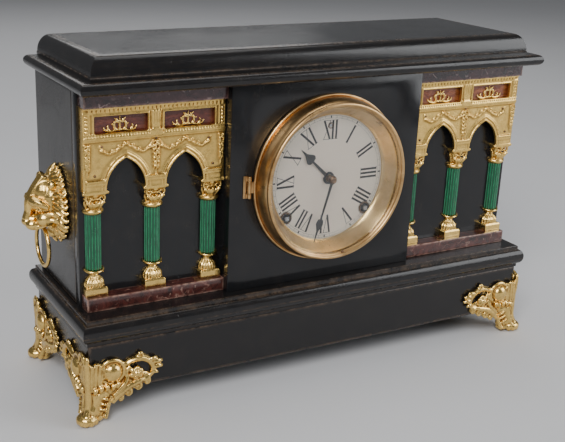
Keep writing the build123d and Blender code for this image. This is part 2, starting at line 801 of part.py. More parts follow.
def front_plate():
    """Front movement plate, also bored for the centre arbor and the motion-work post."""
    body = movement_plate(opening_inner_y, front_plate_back)
    y = opening_inner_y
    centre = rod_y(0, dial_height, centre_arbor_radius + running_clearance, y - 1, front_plate_back + 1)
    stud = rod_y(minute_wheel_at[0], dial_height + minute_wheel_at[1], stud_radius, y - 12.6, y)
    height = dial_height + regulator_height
    bridge = rod_y(0, height, regulator_radius + 1.2, y - 8, y)
    bore = rod_y(0, height, regulator_radius + running_clearance, y - 9, 0)
    return body - centre + stud + bridge - bore


def back_plate():
    return movement_plate(back_plate_front, back_plate_back)


def plate_pillars():
    """Five pillars that hold the plates apart."""
    y0, y1 = front_plate_back, back_plate_front
    return [rod_y(x, dial_height + z, pillar_radius, y0, y1) for x, z in pillar_places]


def great_wheel(place, mate):
    """Great wheel, loose on its winding arbor."""
    phase = heading(*place, *mate)
    body = wheel(great_teeth, great_module, phase, *place, great_wheel_depth, great_wheel_thickness, 6.0,
                 spokes=5)
    hub = rod_y(place[0], dial_height + place[1], 5.0, great_wheel_back, great_wheel_back + hub_length)
    bore = rod_y(place[0], dial_height + place[1], winding_arbor_radius + running_clearance,
                 front_plate_back, front_plate_back + 8)
    return body + hub - bore


def winding_arbor(place):
    """Winding arbor with its ratchet, squared at the front for the key."""
    x, z = place[0], dial_height + place[1]
    square_back = panel_front + 3.0
    body = rod_y(x, z, winding_arbor_radius, square_back, back_plate_back + 1.0)
    square = Box(winding_square, 6.0, winding_square)
    body += Pos(x, square_back - 3.0, z) * square
    y = great_wheel_back + hub_length + end_shake
    return body + slab(placed(ratchet(ratchet_radius, ratchet_teeth), *place), y, y + 1.6)


def ratchet(radius, teeth):
    """Saw-toothed ratchet outline."""
    points = []
    for n in range(teeth):
        a = 2 * pi * n / teeth
        root = 0.86 * radius
        points += [(radius * cos(a), radius * sin(a)), (root * cos(a + 0.02), root * sin(a + 0.02))]
    return outline(*points)


def coil(inner, pitch, turns, strip):
    """Flat spiral strip built from half circles; it starts on the +X side."""
    edges_out, edges_in = [], []
    for n in range(2 * turns):
        sign = 1 if n % 2 == 0 else -1
        start, middle, end = coil_points(inner, pitch, n, sign, strip / 2)
        edges_out.append(ThreePointArc(start, middle, end))
        start, middle, end = coil_points(inner, pitch, n, sign, -strip / 2)
        edges_in.append(ThreePointArc(start, middle, end))
    first = Line(edges_in[0] @ 0, edges_out[0] @ 0)
    last = Line(edges_in[-1] @ 1, edges_out[-1] @ 1)
    return make_face(Curve() + edges_out + edges_in + [first, last])


def coil_points(inner, pitch, n, sign, offset):
    """Start, middle and end of the n-th half turn, offset outwards from the strip's centre line."""
    r0 = inner + pitch * n / 2
    r1 = inner + pitch * (n + 1) / 2
    start = (sign * (r0 + offset), 0)
    end = (-sign * (r1 + offset), 0)
    centre = (start[0] + end[0]) / 2
    return start, (centre, sign * ((r0 + r1) / 2 + offset)), end


def mainsprings():
    """Both mainsprings, coiled loosely round their winding arbors."""
    inner = spring_radius - spring_pitch * spring_turns
    y = front_plate_back + spring_depth
    return [slab(placed(coil(inner, spring_pitch, spring_turns, spring_strip), *place), y, y + spring_width)
            for place in (great_left, great_right)]


def geared_arbor(place, pinion_spec, wheel_spec):
    """Arbor with a pinion and a wheel: each spec is teeth, module, phase, depth and length."""
    teeth, module, phase, depth, length = pinion_spec
    body = arbor(*place) + pinion(teeth, module, phase, *place, depth, length)
    teeth, module, phase, depth, length = wheel_spec
    return body + wheel(teeth, module, phase, *place, depth, length, 4.0)


def second_wheel():
    """Second arbor of the going train."""
    to_great = heading(*second_at, *great_right) + 180 / great_pinion_teeth
    to_centre = heading(*second_at, 0, 0)
    return geared_arbor(second_at, (great_pinion_teeth, great_module, to_great, 1.0, 4.0),
                        (second_teeth, second_module, to_centre, 29.0, 2.0))


def centre_arbor():
    """Centre arbor: driven pinion, centre wheel and cannon pinion, out to the minute hand."""
    from_second = heading(0, 0, *second_at) + 180 / centre_pinion_teeth
    body = pinion(centre_pinion_teeth, second_module, from_second, 0, 0, 28.5, 3.0)
    body += wheel(centre_teeth, centre_module, heading(0, 0, *third_at), 0, 0, 10.0, 1.5, 5.0)
    body += rod_y(0, dial_height, centre_arbor_radius, minute_hand_front, back_plate_front - end_shake)
    body += rod_y(0, dial_height, pivot_radius, back_plate_front - 1, back_plate_back + 0.4)
    face = gear(cannon_teeth, minute_module, motion_angle + 180 / cannon_teeth, slim=0.34)
    return body + slab(placed(face, 0, 0), opening_inner_y - 4.0, opening_inner_y - 1.0)


def minute_wheel():
    """Motion-work wheel and pinion on a stud in front of the front plate."""
    back = gear(minute_teeth, minute_module, motion_angle + 180) - Circle(stud_radius + running_clearance)
    pinion_phase = motion_angle + 180 + 180 / minute_pinion_teeth
    front = gear(minute_pinion_teeth, hour_module, pinion_phase, slim=0.34)
    front -= Circle(stud_radius + running_clearance)
    y = opening_inner_y - 3.2
    body = slab(placed(back, *minute_wheel_at), y, y + 1.4)
    return body + slab(placed(front, *minute_wheel_at), y - 5.0, y)


def hour_wheel():
    """Hour wheel on its pipe, which turns on the centre arbor."""
    face = gear(hour_teeth, hour_module, motion_angle)
    y = opening_inner_y - 7.4
    body = slab(placed(face, 0, 0), y, y + 1.4)
    body += rod_y(0, dial_height, hour_pipe_radius, hour_hand_front, y + 1.4)
    bore = hour_pipe_radius - hour_pipe_wall
    body -= rod_y(0, dial_height, bore, hour_hand_front - 1, opening_inner_y)
    sleeve_end = hour_hand_front + 4.0
    collar = rod_y(0, dial_height, bore, hour_hand_front, sleeve_end)
    inner = centre_arbor_radius + running_clearance
    collar -= rod_y(0, dial_height, inner, hour_hand_front - 1, sleeve_end + 1)
    return body + collar


def third_wheel():
    to_centre = heading(*third_at, 0, 0) + 180 / third_pinion_teeth
    to_escape = heading(*third_at, 0, escape_height)
    return geared_arbor(third_at, (third_pinion_teeth, centre_module, to_centre, 8.5, 4.5),
                        (third_teeth, third_module, to_escape, 16.0, 1.5))


def escape_wheel():
    """Escape wheel with pointed teeth, and its pinion."""
    to_third = heading(0, escape_height, *third_at) + 180 / escape_pinion_teeth
    body = arbor(0, escape_height)
    body += pinion(escape_pinion_teeth, third_module, to_third, 0, escape_height, 14.5, 4.5)
    points = []
    for n in range(escape_teeth):
        a = 2 * pi * n / escape_teeth
        points += [(escape_radius * cos(a), escape_radius * sin(a)),
                   ((escape_radius - 1.8) * cos(a + 0.03), (escape_radius - 1.8) * sin(a + 0.03))]
    face = outline(*points) - Circle(escape_radius - 3.6) + Circle(3.0)
    for n in range(4):
        face += Rot(0, 0, 90 * n) * Pos(escape_radius / 2, 0) * Rectangle(escape_radius - 3.6, 1.6)
    y = front_plate_back + 29.0
    return body + slab(placed(face, 0, escape_height), y, y + 0.8)


def verge():
    """Anchor over the escape wheel on its arbor, with the crutch behind the back plate."""
    z = dial_height + verge_z
    body = rod_y(0, z, arbor_radius, front_plate_back + end_shake, back_plate_front - end_shake)
    body += rod_y(0, z, pivot_radius, opening_inner_y + 0.1, back_plate_back + 3.4)
    outer = escape_radius + pallet_clearance + 2.4
    band = Circle(outer) - Circle(escape_radius + pallet_clearance)
    band &= outline((0, 0), (-2 * outer, 2 * outer), (2 * outer, 2 * outer))
    stem = Pos(0, (outer - 1 + verge_height) / 2) * Rectangle(4.0, verge_height - outer + 3)
    y = front_plate_back + 28.4
    body += slab(placed(band + stem + Pos(0, verge_height) * Circle(2.6), 0, escape_height), y, y + 2.0)
    crutch_y = back_plate_back + 1.0
    body += block(-1.6, 1.6, crutch_y, crutch_y + 1.6, z - 26, z + 2)
    for x in (-rod_radius - 0.35 - 1.2, rod_radius + 0.35):
        body += block(x, x + 1.2, crutch_y, pendulum_y + 2, z - 26, z - 23)
    return body


def suspension_post():
    """Post on the back plate that the pendulum hangs from."""
    z = dial_height + verge_z
    foot_plate = block(-6, 6, back_plate_back, back_plate_back + 1.2, z + 1.4 + 1.4, z + 8)
    arm = block(-2.5, 2.5, back_plate_back, pendulum_y + 3, z + 3.2, z + 7)
    jaw = block(-2.5, 2.5, pendulum_y - 3, pendulum_y + 3, z + suspension_gap, z + 7)
    return foot_plate + arm + jaw


def pendulum_rod():
    """Suspension spring and rod, down through the bob."""
    z = dial_height + verge_z
    strip = block(-0.2, 0.2, pendulum_y - 2.2, pendulum_y + 2.2, z - 9, z)
    return strip + rod_z(0, pendulum_y, rod_radius, z - pendulum_length - bob_radius - 3, z - 8)


def pendulum_bob():
    """Lens-shaped bob, bored for the rod."""
    z = dial_height + verge_z - pendulum_length
    half = bob_thickness / 2
    bob = turned_y([(0, pendulum_y - half), (8, pendulum_y - half * 0.9), (13.4, pendulum_y - half * 0.45),
                    (bob_radius, pendulum_y), (13.4, pendulum_y + half * 0.45), (8, pendulum_y + half * 0.9),
                    (0, pendulum_y + half)], 0, z)
    return bob - rod_z(0, pendulum_y, rod_radius, z - bob_radius - 5, z + bob_radius + 5)


def regulator_arbor():
    """Small arbor at twelve that a key turns to regulate the rate."""
    z = dial_height + regulator_height
    body = rod_y(0, z, regulator_radius, panel_front - dial_thickness, opening_inner_y - 1.0)
    return body + rod_y(0, z, regulator_radius + 0.8, opening_inner_y - 11.0, opening_inner_y - 8.2)


def strike_second_wheel():
    to_great = heading(*strike_second_at, *great_left) + 180 / great_pinion_teeth
    to_third = heading(*strike_second_at, *strike_third_at)
    return geared_arbor(strike_second_at, (great_pinion_teeth, great_module, to_great, 1.0, 4.0),
                        (strike_second_teeth, strike_module, to_third, 29.0, 1.5))


def strike_third_wheel():
    to_second = heading(*strike_third_at, *strike_second_at) + 180 / strike_third_pinion_teeth
    to_fly = heading(*strike_third_at, *fly_at)
    return geared_arbor(strike_third_at, (strike_third_pinion_teeth, strike_module, to_second, 28.0, 3.5),
                        (strike_third_teeth, fly_module, to_fly, 21.0, 1.5))


def fly():
    """Air brake of the striking train: a thin vane on a pinion arbor."""
    to_third = heading(*fly_at, *strike_third_at) + 180 / fly_pinion_teeth
    body = arbor(*fly_at) + pinion(fly_pinion_teeth, fly_module, to_third, *fly_at, 20.0, 4.0)
    y = front_plate_back + 5.0
    vane = Rot(0, 0, 35) * Rectangle(24.0, 0.8)
    return body + slab(placed(vane, *fly_at), y, y + 13.0)


def hammer():
    """Strike hammer: arbor between the plates, arm behind them and the head beside the gong."""
    x, z = hammer_pivot_x, dial_height + hammer_pivot_z
    head_x = gong_x + gong_outer_radius + hammer_gap
    body = arbor(*hammer_at)
    body += rod_y(x, z, pivot_radius, back_plate_back, back_plate_back + 4.0)
    arm_y = back_plate_back + 1.2
    body += block(x - 1.5, x + 1.5, arm_y, arm_y + 2.4, gong_z - 3, z + 2)
    body += block(x - 1.5, x + 1.5, arm_y, gong_y + 2, gong_z - 1.5, gong_z + 1.5)
    body += rod_x(head_x, x, gong_y, gong_z, 1.4)
    return body + rod_x(head_x, head_x + 8.0, gong_y, gong_z, 4.0)


def gong():
    """Flat spiral gong, its inner end fixed in a collet."""
    wire = coil(gong_inner_radius, gong_pitch, gong_turns, 2 * gong_wire)
    body = slab(Pos(gong_x, gong_z) * wire, gong_y - gong_wire, gong_y + gong_wire)
    w = gong_wire
    spoke = block(gong_x, gong_x + gong_inner_radius, gong_y - w, gong_y + w, gong_z - w, gong_z + w)
    collet = rod_y(gong_x, gong_z, 4.0, gong_y - 2.5, gong_y + 4.0)
    return body + spoke + collet


def gong_base():
    """Cast stand on the bottom board that holds the gong's collet."""
    y = gong_y + 4.0
    post = block(gong_x - 5, gong_x + 5, y, y + 8, case_bottom + 6, gong_z + 8)
    shoe = block(gong_x - 20, gong_x + 20, y - 8, y + 15, case_bottom, case_bottom + 6)
    return post + shoe


# ---------------------------------------------------------------- rear door and screws
def rear_door():
    """Round sheet-metal door over the access hole, with its hinge knuckle and a pull."""
    y = case_back_y + door_gap
    body = rod_y(0, dial_height, door_radius, y, y + door_sheet)
    rim_radius = door_hole_radius - 1.5
    rim = rod_y(0, dial_height, rim_radius, y - door_rim, y)
    rim -= rod_y(0, dial_height, rim_radius - 0.8, y - door_rim - 1, y)
    body += front_of_hinge(rim)
    body += rod_y(door_radius - 9, dial_height, 3.2, y + door_sheet, y + 6.0)
    z0, z1 = dial_height - 8, dial_height + 8
    barrel = rod_z(door_hinge_x, door_hinge_y, door_knuckle_radius, z0, z1)
    lug = block(door_hinge_x, -door_radius + 5, y, y + door_sheet, z0, z1)
    pin_room = rod_z(door_hinge_x, door_hinge_y, door_pin_radius + running_clearance, z0 - 1, z1 + 1)
    return body + lug + barrel - pin_room


def front_of_hinge(rim):
    """The rim kept away from the hinge side, where it would foul the board as the door opens."""
    return rim & block(-door_radius + 26, door_radius, -100, 100, 0, 2 * dial_height)


def rear_door_hinge():
    """Fixed leaf and pin of the rear door hinge."""
    z0, z1 = dial_height - 13, dial_height + 13
    leaf = block(door_hinge_x - 10, door_hinge_x - 1.8, case_back_y, case_back_y + 0.8, z0, z1)
    pin = rod_z(door_hinge_x, door_hinge_y, door_pin_radius, z0, z1)
    ends = []
    for a, b in ((z0, z0 + 4.7), (z1 - 4.7, z1)):
        ends.append(rod_z(door_hinge_x, door_hinge_y, door_knuckle_radius, a, b))
        ends.append(block(door_hinge_x - 3, door_hinge_x, case_back_y, case_back_y + 0.8, a, b))
    return leaf + ends + pin


def movement_screw_hole(x, z):
    return rod_y(x, dial_height + z, movement_screw_radius, opening_inner_y - 6.5, opening_inner_y + 1)


def back_screw_hole(x, z):
    return rod_y(x, case_bottom + case_height / 2 + z, back_screw_radius, case_back_y - 6, case_back_y + 1)


def foot_screw_places():
    """One screw up through each foot flange."""
    x, y0, y1 = plinth_half - foot_screw_inset, plinth_front + 5.0, case_back_y - 5.0
    return [(sx * x, y) for sx in (-1, 1) for y in (y0, y1)]


def foot_screw_hole(x, y):
    return rod_z(x, y, foot_screw_radius, foot_height - foot_flange - 1, foot_height + 8.5)


def screws():
    """Movement, back board and foot screws, each a shank with a round head."""
    group = []
    for x, z in movement_screws:
        y = front_plate_back
        group.append(rod_y(x, dial_height + z, movement_screw_radius, opening_inner_y - 6.0, y)
                     + rod_y(x, dial_height + z, movement_head_radius, y, y + 1.6))
    for x, z in back_screws:
        height = case_bottom + case_height / 2 + z
        group.append(rod_y(x, height, back_screw_radius, case_back_y - 5.5, case_back_y)
                     + rod_y(x, height, back_head_radius, case_back_y, case_back_y + 1.4))
    for x, y in foot_screw_places():
        z = foot_height - foot_flange
        group.append(rod_z(x, y, foot_screw_radius, z, foot_height + 8)
                     + rod_z(x, y, foot_head_radius, z - 1.4, z))
    return group


# ---------------------------------------------------------------- assembly
def parts():
    """Every node of the clock, by name."""
    nodes = {
        "plinth_boards": plinth_boards(),
        "base_moulding": base_moulding(),
        "front_board": front_board(),
        "front_panel": front_panel(),
        "side_board_right": side_board(),
        "side_board_left": mirror(side_board(), Plane.YZ),
        "back_board": back_board(),
        "cornice_board": cornice_board(),
        "top_cap": top_cap(),
        "frieze_strips": both_sides(frieze_strip()),
        "sill_strips": both_sides(sill_strip()),
        "arcade_right": arcade(),
        "arcade_left": mirror(arcade(), Plane.YZ),
        "columns": [column(sign * x) for sign in (-1, 1) for x in column_x],
        "column_bases": [column_base(sign * x) for sign in (-1, 1) for x in column_x],
        "lion_mask_right": lion_mask(),
        "lion_mask_left": mirror(lion_mask(), Plane.YZ),
        "ring_right": mask_ring(),
        "ring_left": mirror(mask_ring(), Plane.YZ),
        "dial_plate": dial_plate(),
        "bezel_ring": bezel_ring() + bezel_knuckle(),
        "bezel_glass": bezel_glass(),
        "reflector_ring": reflector_ring(),
        "bezel_hinge": bezel_hinge(),
        "bezel_catch": bezel_catch(),
        "hour_hand": hour_hand(),
        "minute_hand": minute_hand(),
        "hand_nut": hand_nut(),
        "front_plate": front_plate(),
        "back_plate": back_plate(),
        "plate_pillars": plate_pillars(),
        "time_great_wheel": great_wheel(great_right, second_at),
        "time_winding_arbor": winding_arbor(great_right),
        "strike_great_wheel": great_wheel(great_left, strike_second_at),
        "strike_winding_arbor": winding_arbor(great_left),
        "mainsprings": mainsprings(),
        "second_wheel": second_wheel(),
        "centre_arbor": centre_arbor(),
        "minute_wheel": minute_wheel(),
        "hour_wheel": hour_wheel(),
        "third_wheel": third_wheel(),
        "escape_wheel": escape_wheel(),
        "verge": verge(),
        "suspension_post": suspension_post(),
        "pendulum_rod": pendulum_rod(),
        "pendulum_bob": pendulum_bob(),
        "regulator_arbor": regulator_arbor(),
        "strike_second_wheel": strike_second_wheel(),
        "strike_third_wheel": strike_third_wheel(),
        "fly": fly(),
        "strike_hammer": hammer(),
        "gong": gong(),
        "gong_base": gong_base(),
        "rear_door": rear_door(),
        "rear_door_hinge": rear_door_hinge(),
        "screws": screws(),
    }
    nodes.update(feet())
    return nodes


os.makedirs("parts", exist_ok=True)
for name, shape in parts().items():
    solids = shape if isinstance(shape, list) else [shape]
    whole = Compound(children=[solid for item in solids for solid in item.solids()])
    export_step(whole, f"parts/{name}.step")
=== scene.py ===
# %% [markdown]
# # A black mantel clock
# The clock is a lacquered wooden case with gilt castings, green half columns and a brass bezel.
# The measured frame gives every place, so each piece below is drawn where the frame says, in metres.
# Pieces that the frame already shapes well keep their mesh and get a finish; the carved, cast and
# turned ones are modelled again with the detail that the eye expects.

# %% The frame
import json
import math
import random

import bpy
import numpy as np
from mathutils import Matrix, Vector


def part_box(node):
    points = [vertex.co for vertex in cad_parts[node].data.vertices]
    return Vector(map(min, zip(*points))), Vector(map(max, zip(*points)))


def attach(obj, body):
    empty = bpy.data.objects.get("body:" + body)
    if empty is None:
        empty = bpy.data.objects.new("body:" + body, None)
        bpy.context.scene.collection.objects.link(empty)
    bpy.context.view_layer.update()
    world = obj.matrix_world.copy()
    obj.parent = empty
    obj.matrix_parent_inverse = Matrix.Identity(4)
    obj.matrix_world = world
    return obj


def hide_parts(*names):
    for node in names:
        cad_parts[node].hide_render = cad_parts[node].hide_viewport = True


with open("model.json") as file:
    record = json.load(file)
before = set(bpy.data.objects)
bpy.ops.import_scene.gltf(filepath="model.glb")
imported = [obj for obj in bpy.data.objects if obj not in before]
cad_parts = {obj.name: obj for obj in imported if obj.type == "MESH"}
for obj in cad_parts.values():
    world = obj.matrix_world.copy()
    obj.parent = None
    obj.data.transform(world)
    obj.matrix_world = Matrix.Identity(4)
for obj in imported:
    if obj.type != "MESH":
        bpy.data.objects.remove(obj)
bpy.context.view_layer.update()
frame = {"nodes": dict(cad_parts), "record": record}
nodes = frame["nodes"]
MM = 0.001

# %% [markdown]
# ## Working habits
# An operator works on whatever is selected, so every step starts with nothing selected.
# A finished piece keeps its object at the origin with its place in its mesh, rides on a body of
# the frame, hides the nodes it stands for and takes its finish.

# %% Selecting and finishing a piece
def clear_selection():
    if bpy.context.mode != "OBJECT":
        bpy.ops.object.mode_set(mode="OBJECT")
    bpy.ops.object.select_all(action="DESELECT")


def pick(*objects):
    clear_selection()
    for item in objects:
        item.select_set(True)
    bpy.context.view_layer.objects.active = objects[0]


def settle(piece):
    """Puts an object's place, turn and scale into its mesh."""
    pick(piece)
    bpy.ops.object.transform_apply(location=True, rotation=True, scale=True)
    return piece


def joined(objects, name):
    """Several meshes made one piece."""
    for item in objects:
        settle(item)
    pick(*objects)
    if len(objects) > 1:
        bpy.ops.object.join()
    piece = bpy.context.view_layer.objects.active
    piece.name = name
    return piece


def apply_modifier(piece, kind, **values):
    pick(piece)
    modifier = piece.modifiers.new(kind.title(), kind)
    for key, value in values.items():
        setattr(modifier, key, value)
    bpy.ops.object.modifier_apply(modifier=modifier.name)
    return piece


def recalculate(piece, merge=0.00001):
    """Doubles merged, then faces turned outwards."""
    pick(piece)
    bpy.ops.object.mode_set(mode="EDIT")
    bpy.ops.mesh.select_all(action="SELECT")
    bpy.ops.mesh.remove_doubles(threshold=merge)
    bpy.ops.mesh.normals_make_consistent(inside=False)
    bpy.ops.object.mode_set(mode="OBJECT")
    return piece


def smooth(piece, degrees=35):
    pick(piece)
    bpy.ops.object.shade_smooth_by_angle(angle=math.radians(degrees))
    return piece


def finish_piece(piece, material, body, slot, *stands_for):
    """Finish, body and slot of a piece, and the nodes that it replaces; the slot is not used."""
    piece.data.materials.clear()
    piece.data.materials.append(material)
    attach(piece, body)
    if stands_for:
        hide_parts(*stands_for)
    return piece


def mirrored(piece, name, axis=0, about=0.0):
    """A copy with its own mesh, turned over across a plane, with its faces put right."""
    copy = piece.copy()
    copy.data = piece.data.copy()
    copy.name = name
    bpy.context.scene.collection.objects.link(copy)
    copy.parent = None
    flip = Matrix.Scale(-1, 4, Vector([1.0 if n == axis else 0.0 for n in range(3)]))
    shift = Matrix.Translation(Vector([2 * about if n == axis else 0.0 for n in range(3)]))
    copy.data.transform(shift @ flip)
    copy.data.flip_normals()
    return copy


def copied(piece, name, offset):
    copy = piece.copy()
    copy.data = piece.data.copy()
    copy.name = name
    bpy.context.scene.collection.objects.link(copy)
    copy.data.transform(Matrix.Translation(Vector(offset)))
    return copy


# %% [markdown]
# ## Making ornament like a founder
# Gilt feet, masks and arcades are castings: soft swellings that run into each other. The same
# comes from simple lumps and tapered strokes that are joined, then remade as one skin with the
# Remesh modifier and relaxed with Smooth.

# %% Lumps, strokes and casting
def lump(at, size, turn=(0, 0, 0)):
    """A sphere squashed to three half sizes, all in millimetres."""
    bpy.ops.mesh.primitive_uv_sphere_add(segments=16, ring_count=10, radius=1, location=Vector(at) * MM,
                                         rotation=[math.radians(v) for v in turn])
    piece = bpy.context.object
    piece.scale = Vector(size) * MM
    return piece


def bar(low, high):
    """A block between two corners, in millimetres."""
    low, high = Vector(low) * MM, Vector(high) * MM
    bpy.ops.mesh.primitive_cube_add(size=1, location=(low + high) / 2)
    piece = bpy.context.object
    piece.scale = high - low
    return piece


def stroke(points, radii, sides=4, straight=False):
    """A tapered tube along a smooth line through points, in millimetres; radii are at the points."""
    bpy.ops.curve.primitive_bezier_curve_add()
    piece = bpy.context.object
    curve = piece.data
    curve.dimensions = "3D"
    curve.splines.clear()
    spline = curve.splines.new("POLY" if straight else "BEZIER")
    if straight:
        spline.points.add(len(points) - 1)
        for point, at, radius in zip(spline.points, points, radii):
            point.co = (*(Vector(at) * MM), 1)
            point.radius = radius
    else:
        spline.bezier_points.add(len(points) - 1)
        for point, at, radius in zip(spline.bezier_points, points, radii):
            point.co = Vector(at) * MM
            point.handle_left_type = point.handle_right_type = "AUTO"
            point.radius = radius
    curve.bevel_depth = MM
    curve.bevel_resolution = sides - 2
    curve.resolution_u = 6
    curve.use_fill_caps = True
    piece.location = (0, 0, 0)
    pick(piece)
    bpy.ops.object.convert(target="MESH")
    return bpy.context.object


def cast(parts, name, voxel=0.45, rounds=3, share=0.5):
    """One skin over all the parts, relaxed like a casting."""
    piece = joined(parts, name)
    apply_modifier(piece, "REMESH", mode="VOXEL", voxel_size=voxel * MM, adaptivity=0.0)
    apply_modifier(piece, "SMOOTH", factor=share, iterations=rounds)
    pick(piece)
    bpy.ops.object.shade_smooth()
    return piece


def curl(centre, start, turns, radius, tip, thick, plane="XZ", depth=0.0, hand=1, fade=0.4):
    """A scroll: a stroke that winds in from a radius to its tip round a centre."""
    count = max(6, int(abs(turns) * 10))
    points, radii = [], []
    for n in range(count + 1):
        share = n / count
        angle = math.radians(start) + hand * 2 * math.pi * turns * share
        reach = radius + (tip - radius) * share
        a, b = reach * math.cos(angle), reach * math.sin(angle)
        if plane == "XZ":
            points.append((centre[0] + a, depth, centre[1] + b))
        else:
            points.append((depth, centre[0] + a, centre[1] + b))
        radii.append(thick * (1 - (1 - fade) * share))
    return stroke(points, radii)


# %% [markdown]
# Gilding looks bright where a casting stands out, and brown in its hollows as painted shade. How far
# a point lies behind its neighbours tells the two apart, so it is measured once and kept as an
# attribute that the finish reads.

# %% Hollows of a casting
def mark_hollows(piece, reach=4, gain=1.0):
    """Writes the hollow attribute: 1 where the skin is cupped, 0 where it is flat or proud; finishes paint shade
    from it.
    """
    mesh = piece.data
    count = len(mesh.vertices)
    places = np.empty(count * 3)
    mesh.vertices.foreach_get("co", places)
    places = places.reshape(-1, 3)
    normals = np.array([v.normal for v in mesh.vertices]).reshape(-1, 3)
    pairs = np.empty(len(mesh.edges) * 2, int)
    mesh.edges.foreach_get("vertices", pairs)
    a, b = pairs.reshape(-1, 2).T
    links = np.bincount(a, minlength=count) + np.bincount(b, minlength=count)

    def averaged(values):
        total = np.zeros_like(values)
        np.add.at(total, a, values[b])
        np.add.at(total, b, values[a])
        return total / np.maximum(links, 1).reshape((-1,) + (1,) * (values.ndim - 1))

    relaxed = places
    for _ in range(reach):
        relaxed = averaged(relaxed)
    cupped = ((relaxed - places) * normals).sum(1) / MM
    cupped = averaged(averaged(cupped))
    values = np.clip(cupped * 7.0 * gain, 0.0, 1.0)
    attribute = mesh.attributes.new("hollow", "FLOAT", "POINT")
    attribute.data.foreach_set("value", values.astype(np.float32))
    return piece


# %% [markdown]
# ## Shared effects
# Wear, dust and uneven polish come back in most finishes of an old clock. Each is a node group
# with named inputs, so one effect is built once and each finish gives it its own values.
# A group here puts out only masks and a roughness.

# %% Node helpers
def new_group(name, inputs, outputs):
    group = bpy.data.node_groups.new(name, "ShaderNodeTree")
    for label, kind, value in inputs:
        socket = group.interface.new_socket(name=label, in_out="INPUT", socket_type=kind)
        if value is not None:
            socket.default_value = value
    for label, kind in outputs:
        group.interface.new_socket(name=label, in_out="OUTPUT", socket_type=kind)
    entry = group.nodes.new("NodeGroupInput")
    leave = group.nodes.new("NodeGroupOutput")
    return group, entry, leave


def add_node(tree, kind, **values):
    node = tree.nodes.new(kind)
    for key, value in values.items():
        setattr(node, key, value)
    return node


def noise(tree, vector, scale, detail=4.0, rough=0.6, distortion=0.0):
    node = add_node(tree, "ShaderNodeTexNoise")
    node.inputs["Detail"].default_value = detail
    node.inputs["Roughness"].default_value = rough
    node.inputs["Distortion"].default_value = distortion
    if isinstance(scale, (int, float)):
        node.inputs["Scale"].default_value = scale
    else:
        tree.links.new(scale, node.inputs["Scale"])
    tree.links.new(vector, node.inputs["Vector"])
    return node.outputs["Fac"]


def ramp(tree, value, stops):
    """A colour ramp of (place, grey or colour) stops."""
    node = add_node(tree, "ShaderNodeValToRGB")
    band = node.color_ramp
    while len(band.elements) < len(stops):
        band.elements.new(0.5)
    for element, (place, colour) in zip(band.elements, stops):
        element.position = place
        shade = (colour,) * 3 if isinstance(colour, (int, float)) else colour
        element.color = (*shade[:3], 1.0)
    tree.links.new(value, node.inputs["Fac"])
    return node.outputs["Color"]


def spread(tree, value, low, high, out_low=0.0, out_high=1.0):
    node = add_node(tree, "ShaderNodeMapRange")
    node.inputs["From Min"].default_value = low
    node.inputs["From Max"].default_value = high
    node.inputs["To Min"].default_value = out_low
    node.inputs["To Max"].default_value = out_high
    tree.links.new(value, node.inputs["Value"])
    return node.outputs["Result"]


def arithmetic(tree, operation, a, b=None):
    node = add_node(tree, "ShaderNodeMath", operation=operation)
    for socket, value in zip(node.inputs, (a, b)):
        if value is None:
            continue
        if isinstance(value, (int, float)):
            socket.default_value = value
        else:
            tree.links.new(value, socket)
    return node.outputs["Value"]


def blend_colour(tree, mask, a, b, mode="MIX"):
    node = add_node(tree, "ShaderNodeMix", data_type="RGBA", blend_type=mode)
    for socket, value in ((node.inputs[0], mask), (node.inputs[6], a), (node.inputs[7], b)):
        if isinstance(value, (int, float)):
            socket.default_value = value
        elif isinstance(value, tuple):
            socket.default_value = (*value[:3], 1.0)
        else:
            tree.links.new(value, socket)
    return node.outputs[2]


def object_place(tree, stretch=(1, 1, 1), turn=(0, 0, 0), shift=(0, 0, 0)):
    """Object coordinates through a Mapping node."""
    place = add_node(tree, "ShaderNodeTexCoord")
    mapping = add_node(tree, "ShaderNodeMapping")
    mapping.inputs["Scale"].default_value = stretch
    mapping.inputs["Rotation"].default_value = turn
    mapping.inputs["Location"].default_value = shift
    tree.links.new(place.outputs["Object"], mapping.inputs["Vector"])
    return mapping.outputs["Vector"]


# %% Group: worn edges
def build_edge_wear():
    """Mask of edges rubbed through; it reads the piece's own edge attribute."""
    group, entry, leave = new_group("edge_wear", [("Amount", "NodeSocketFloat", 0.5),
                                                  ("Scale", "NodeSocketFloat", 120.0)],
                                    [("Mask", "NodeSocketFloat")])
    edge = add_node(group, "ShaderNodeAttribute", attribute_name="edge").outputs["Fac"]
    patches = noise(group, object_place(group), entry.outputs["Scale"], 6.0, 0.7)
    sharp = arithmetic(group, "POWER", edge, 2.2)
    broken = spread(group, patches, 0.38, 0.66)
    mask = arithmetic(group, "MULTIPLY", arithmetic(group, "MULTIPLY", sharp, broken),
                      entry.outputs["Amount"])
    group.links.new(mask, leave.inputs["Mask"])
    return group


# %% Group: uneven polish
def build_uneven_polish():
    """Roughness that drifts over the surface, with fine rubbing marks along one direction."""
    group, entry, leave = new_group("uneven_polish", [("Low", "NodeSocketFloat", 0.15),
                                                      ("High", "NodeSocketFloat", 0.35),
                                                      ("Scale", "NodeSocketFloat",
                                                       20.0)], [("Roughness", "NodeSocketFloat")])
    drift = noise(group, object_place(group), entry.outputs["Scale"], 5.0, 0.65, 0.6)
    rubs = noise(group, object_place(group, (6, 60, 60)), 18.0, 3.0, 0.6)
    mixed = arithmetic(group, "ADD", arithmetic(group, "MULTIPLY", drift, 0.75),
                       arithmetic(group, "MULTIPLY", rubs, 0.25))
    eased = spread(group, mixed, 0.35, 0.65)
    width = arithmetic(group, "SUBTRACT", entry.outputs["High"], entry.outputs["Low"])
    value = arithmetic(group, "ADD", arithmetic(group, "MULTIPLY", eased, width), entry.outputs["Low"])
    group.links.new(value, leave.inputs["Roughness"])
    return group
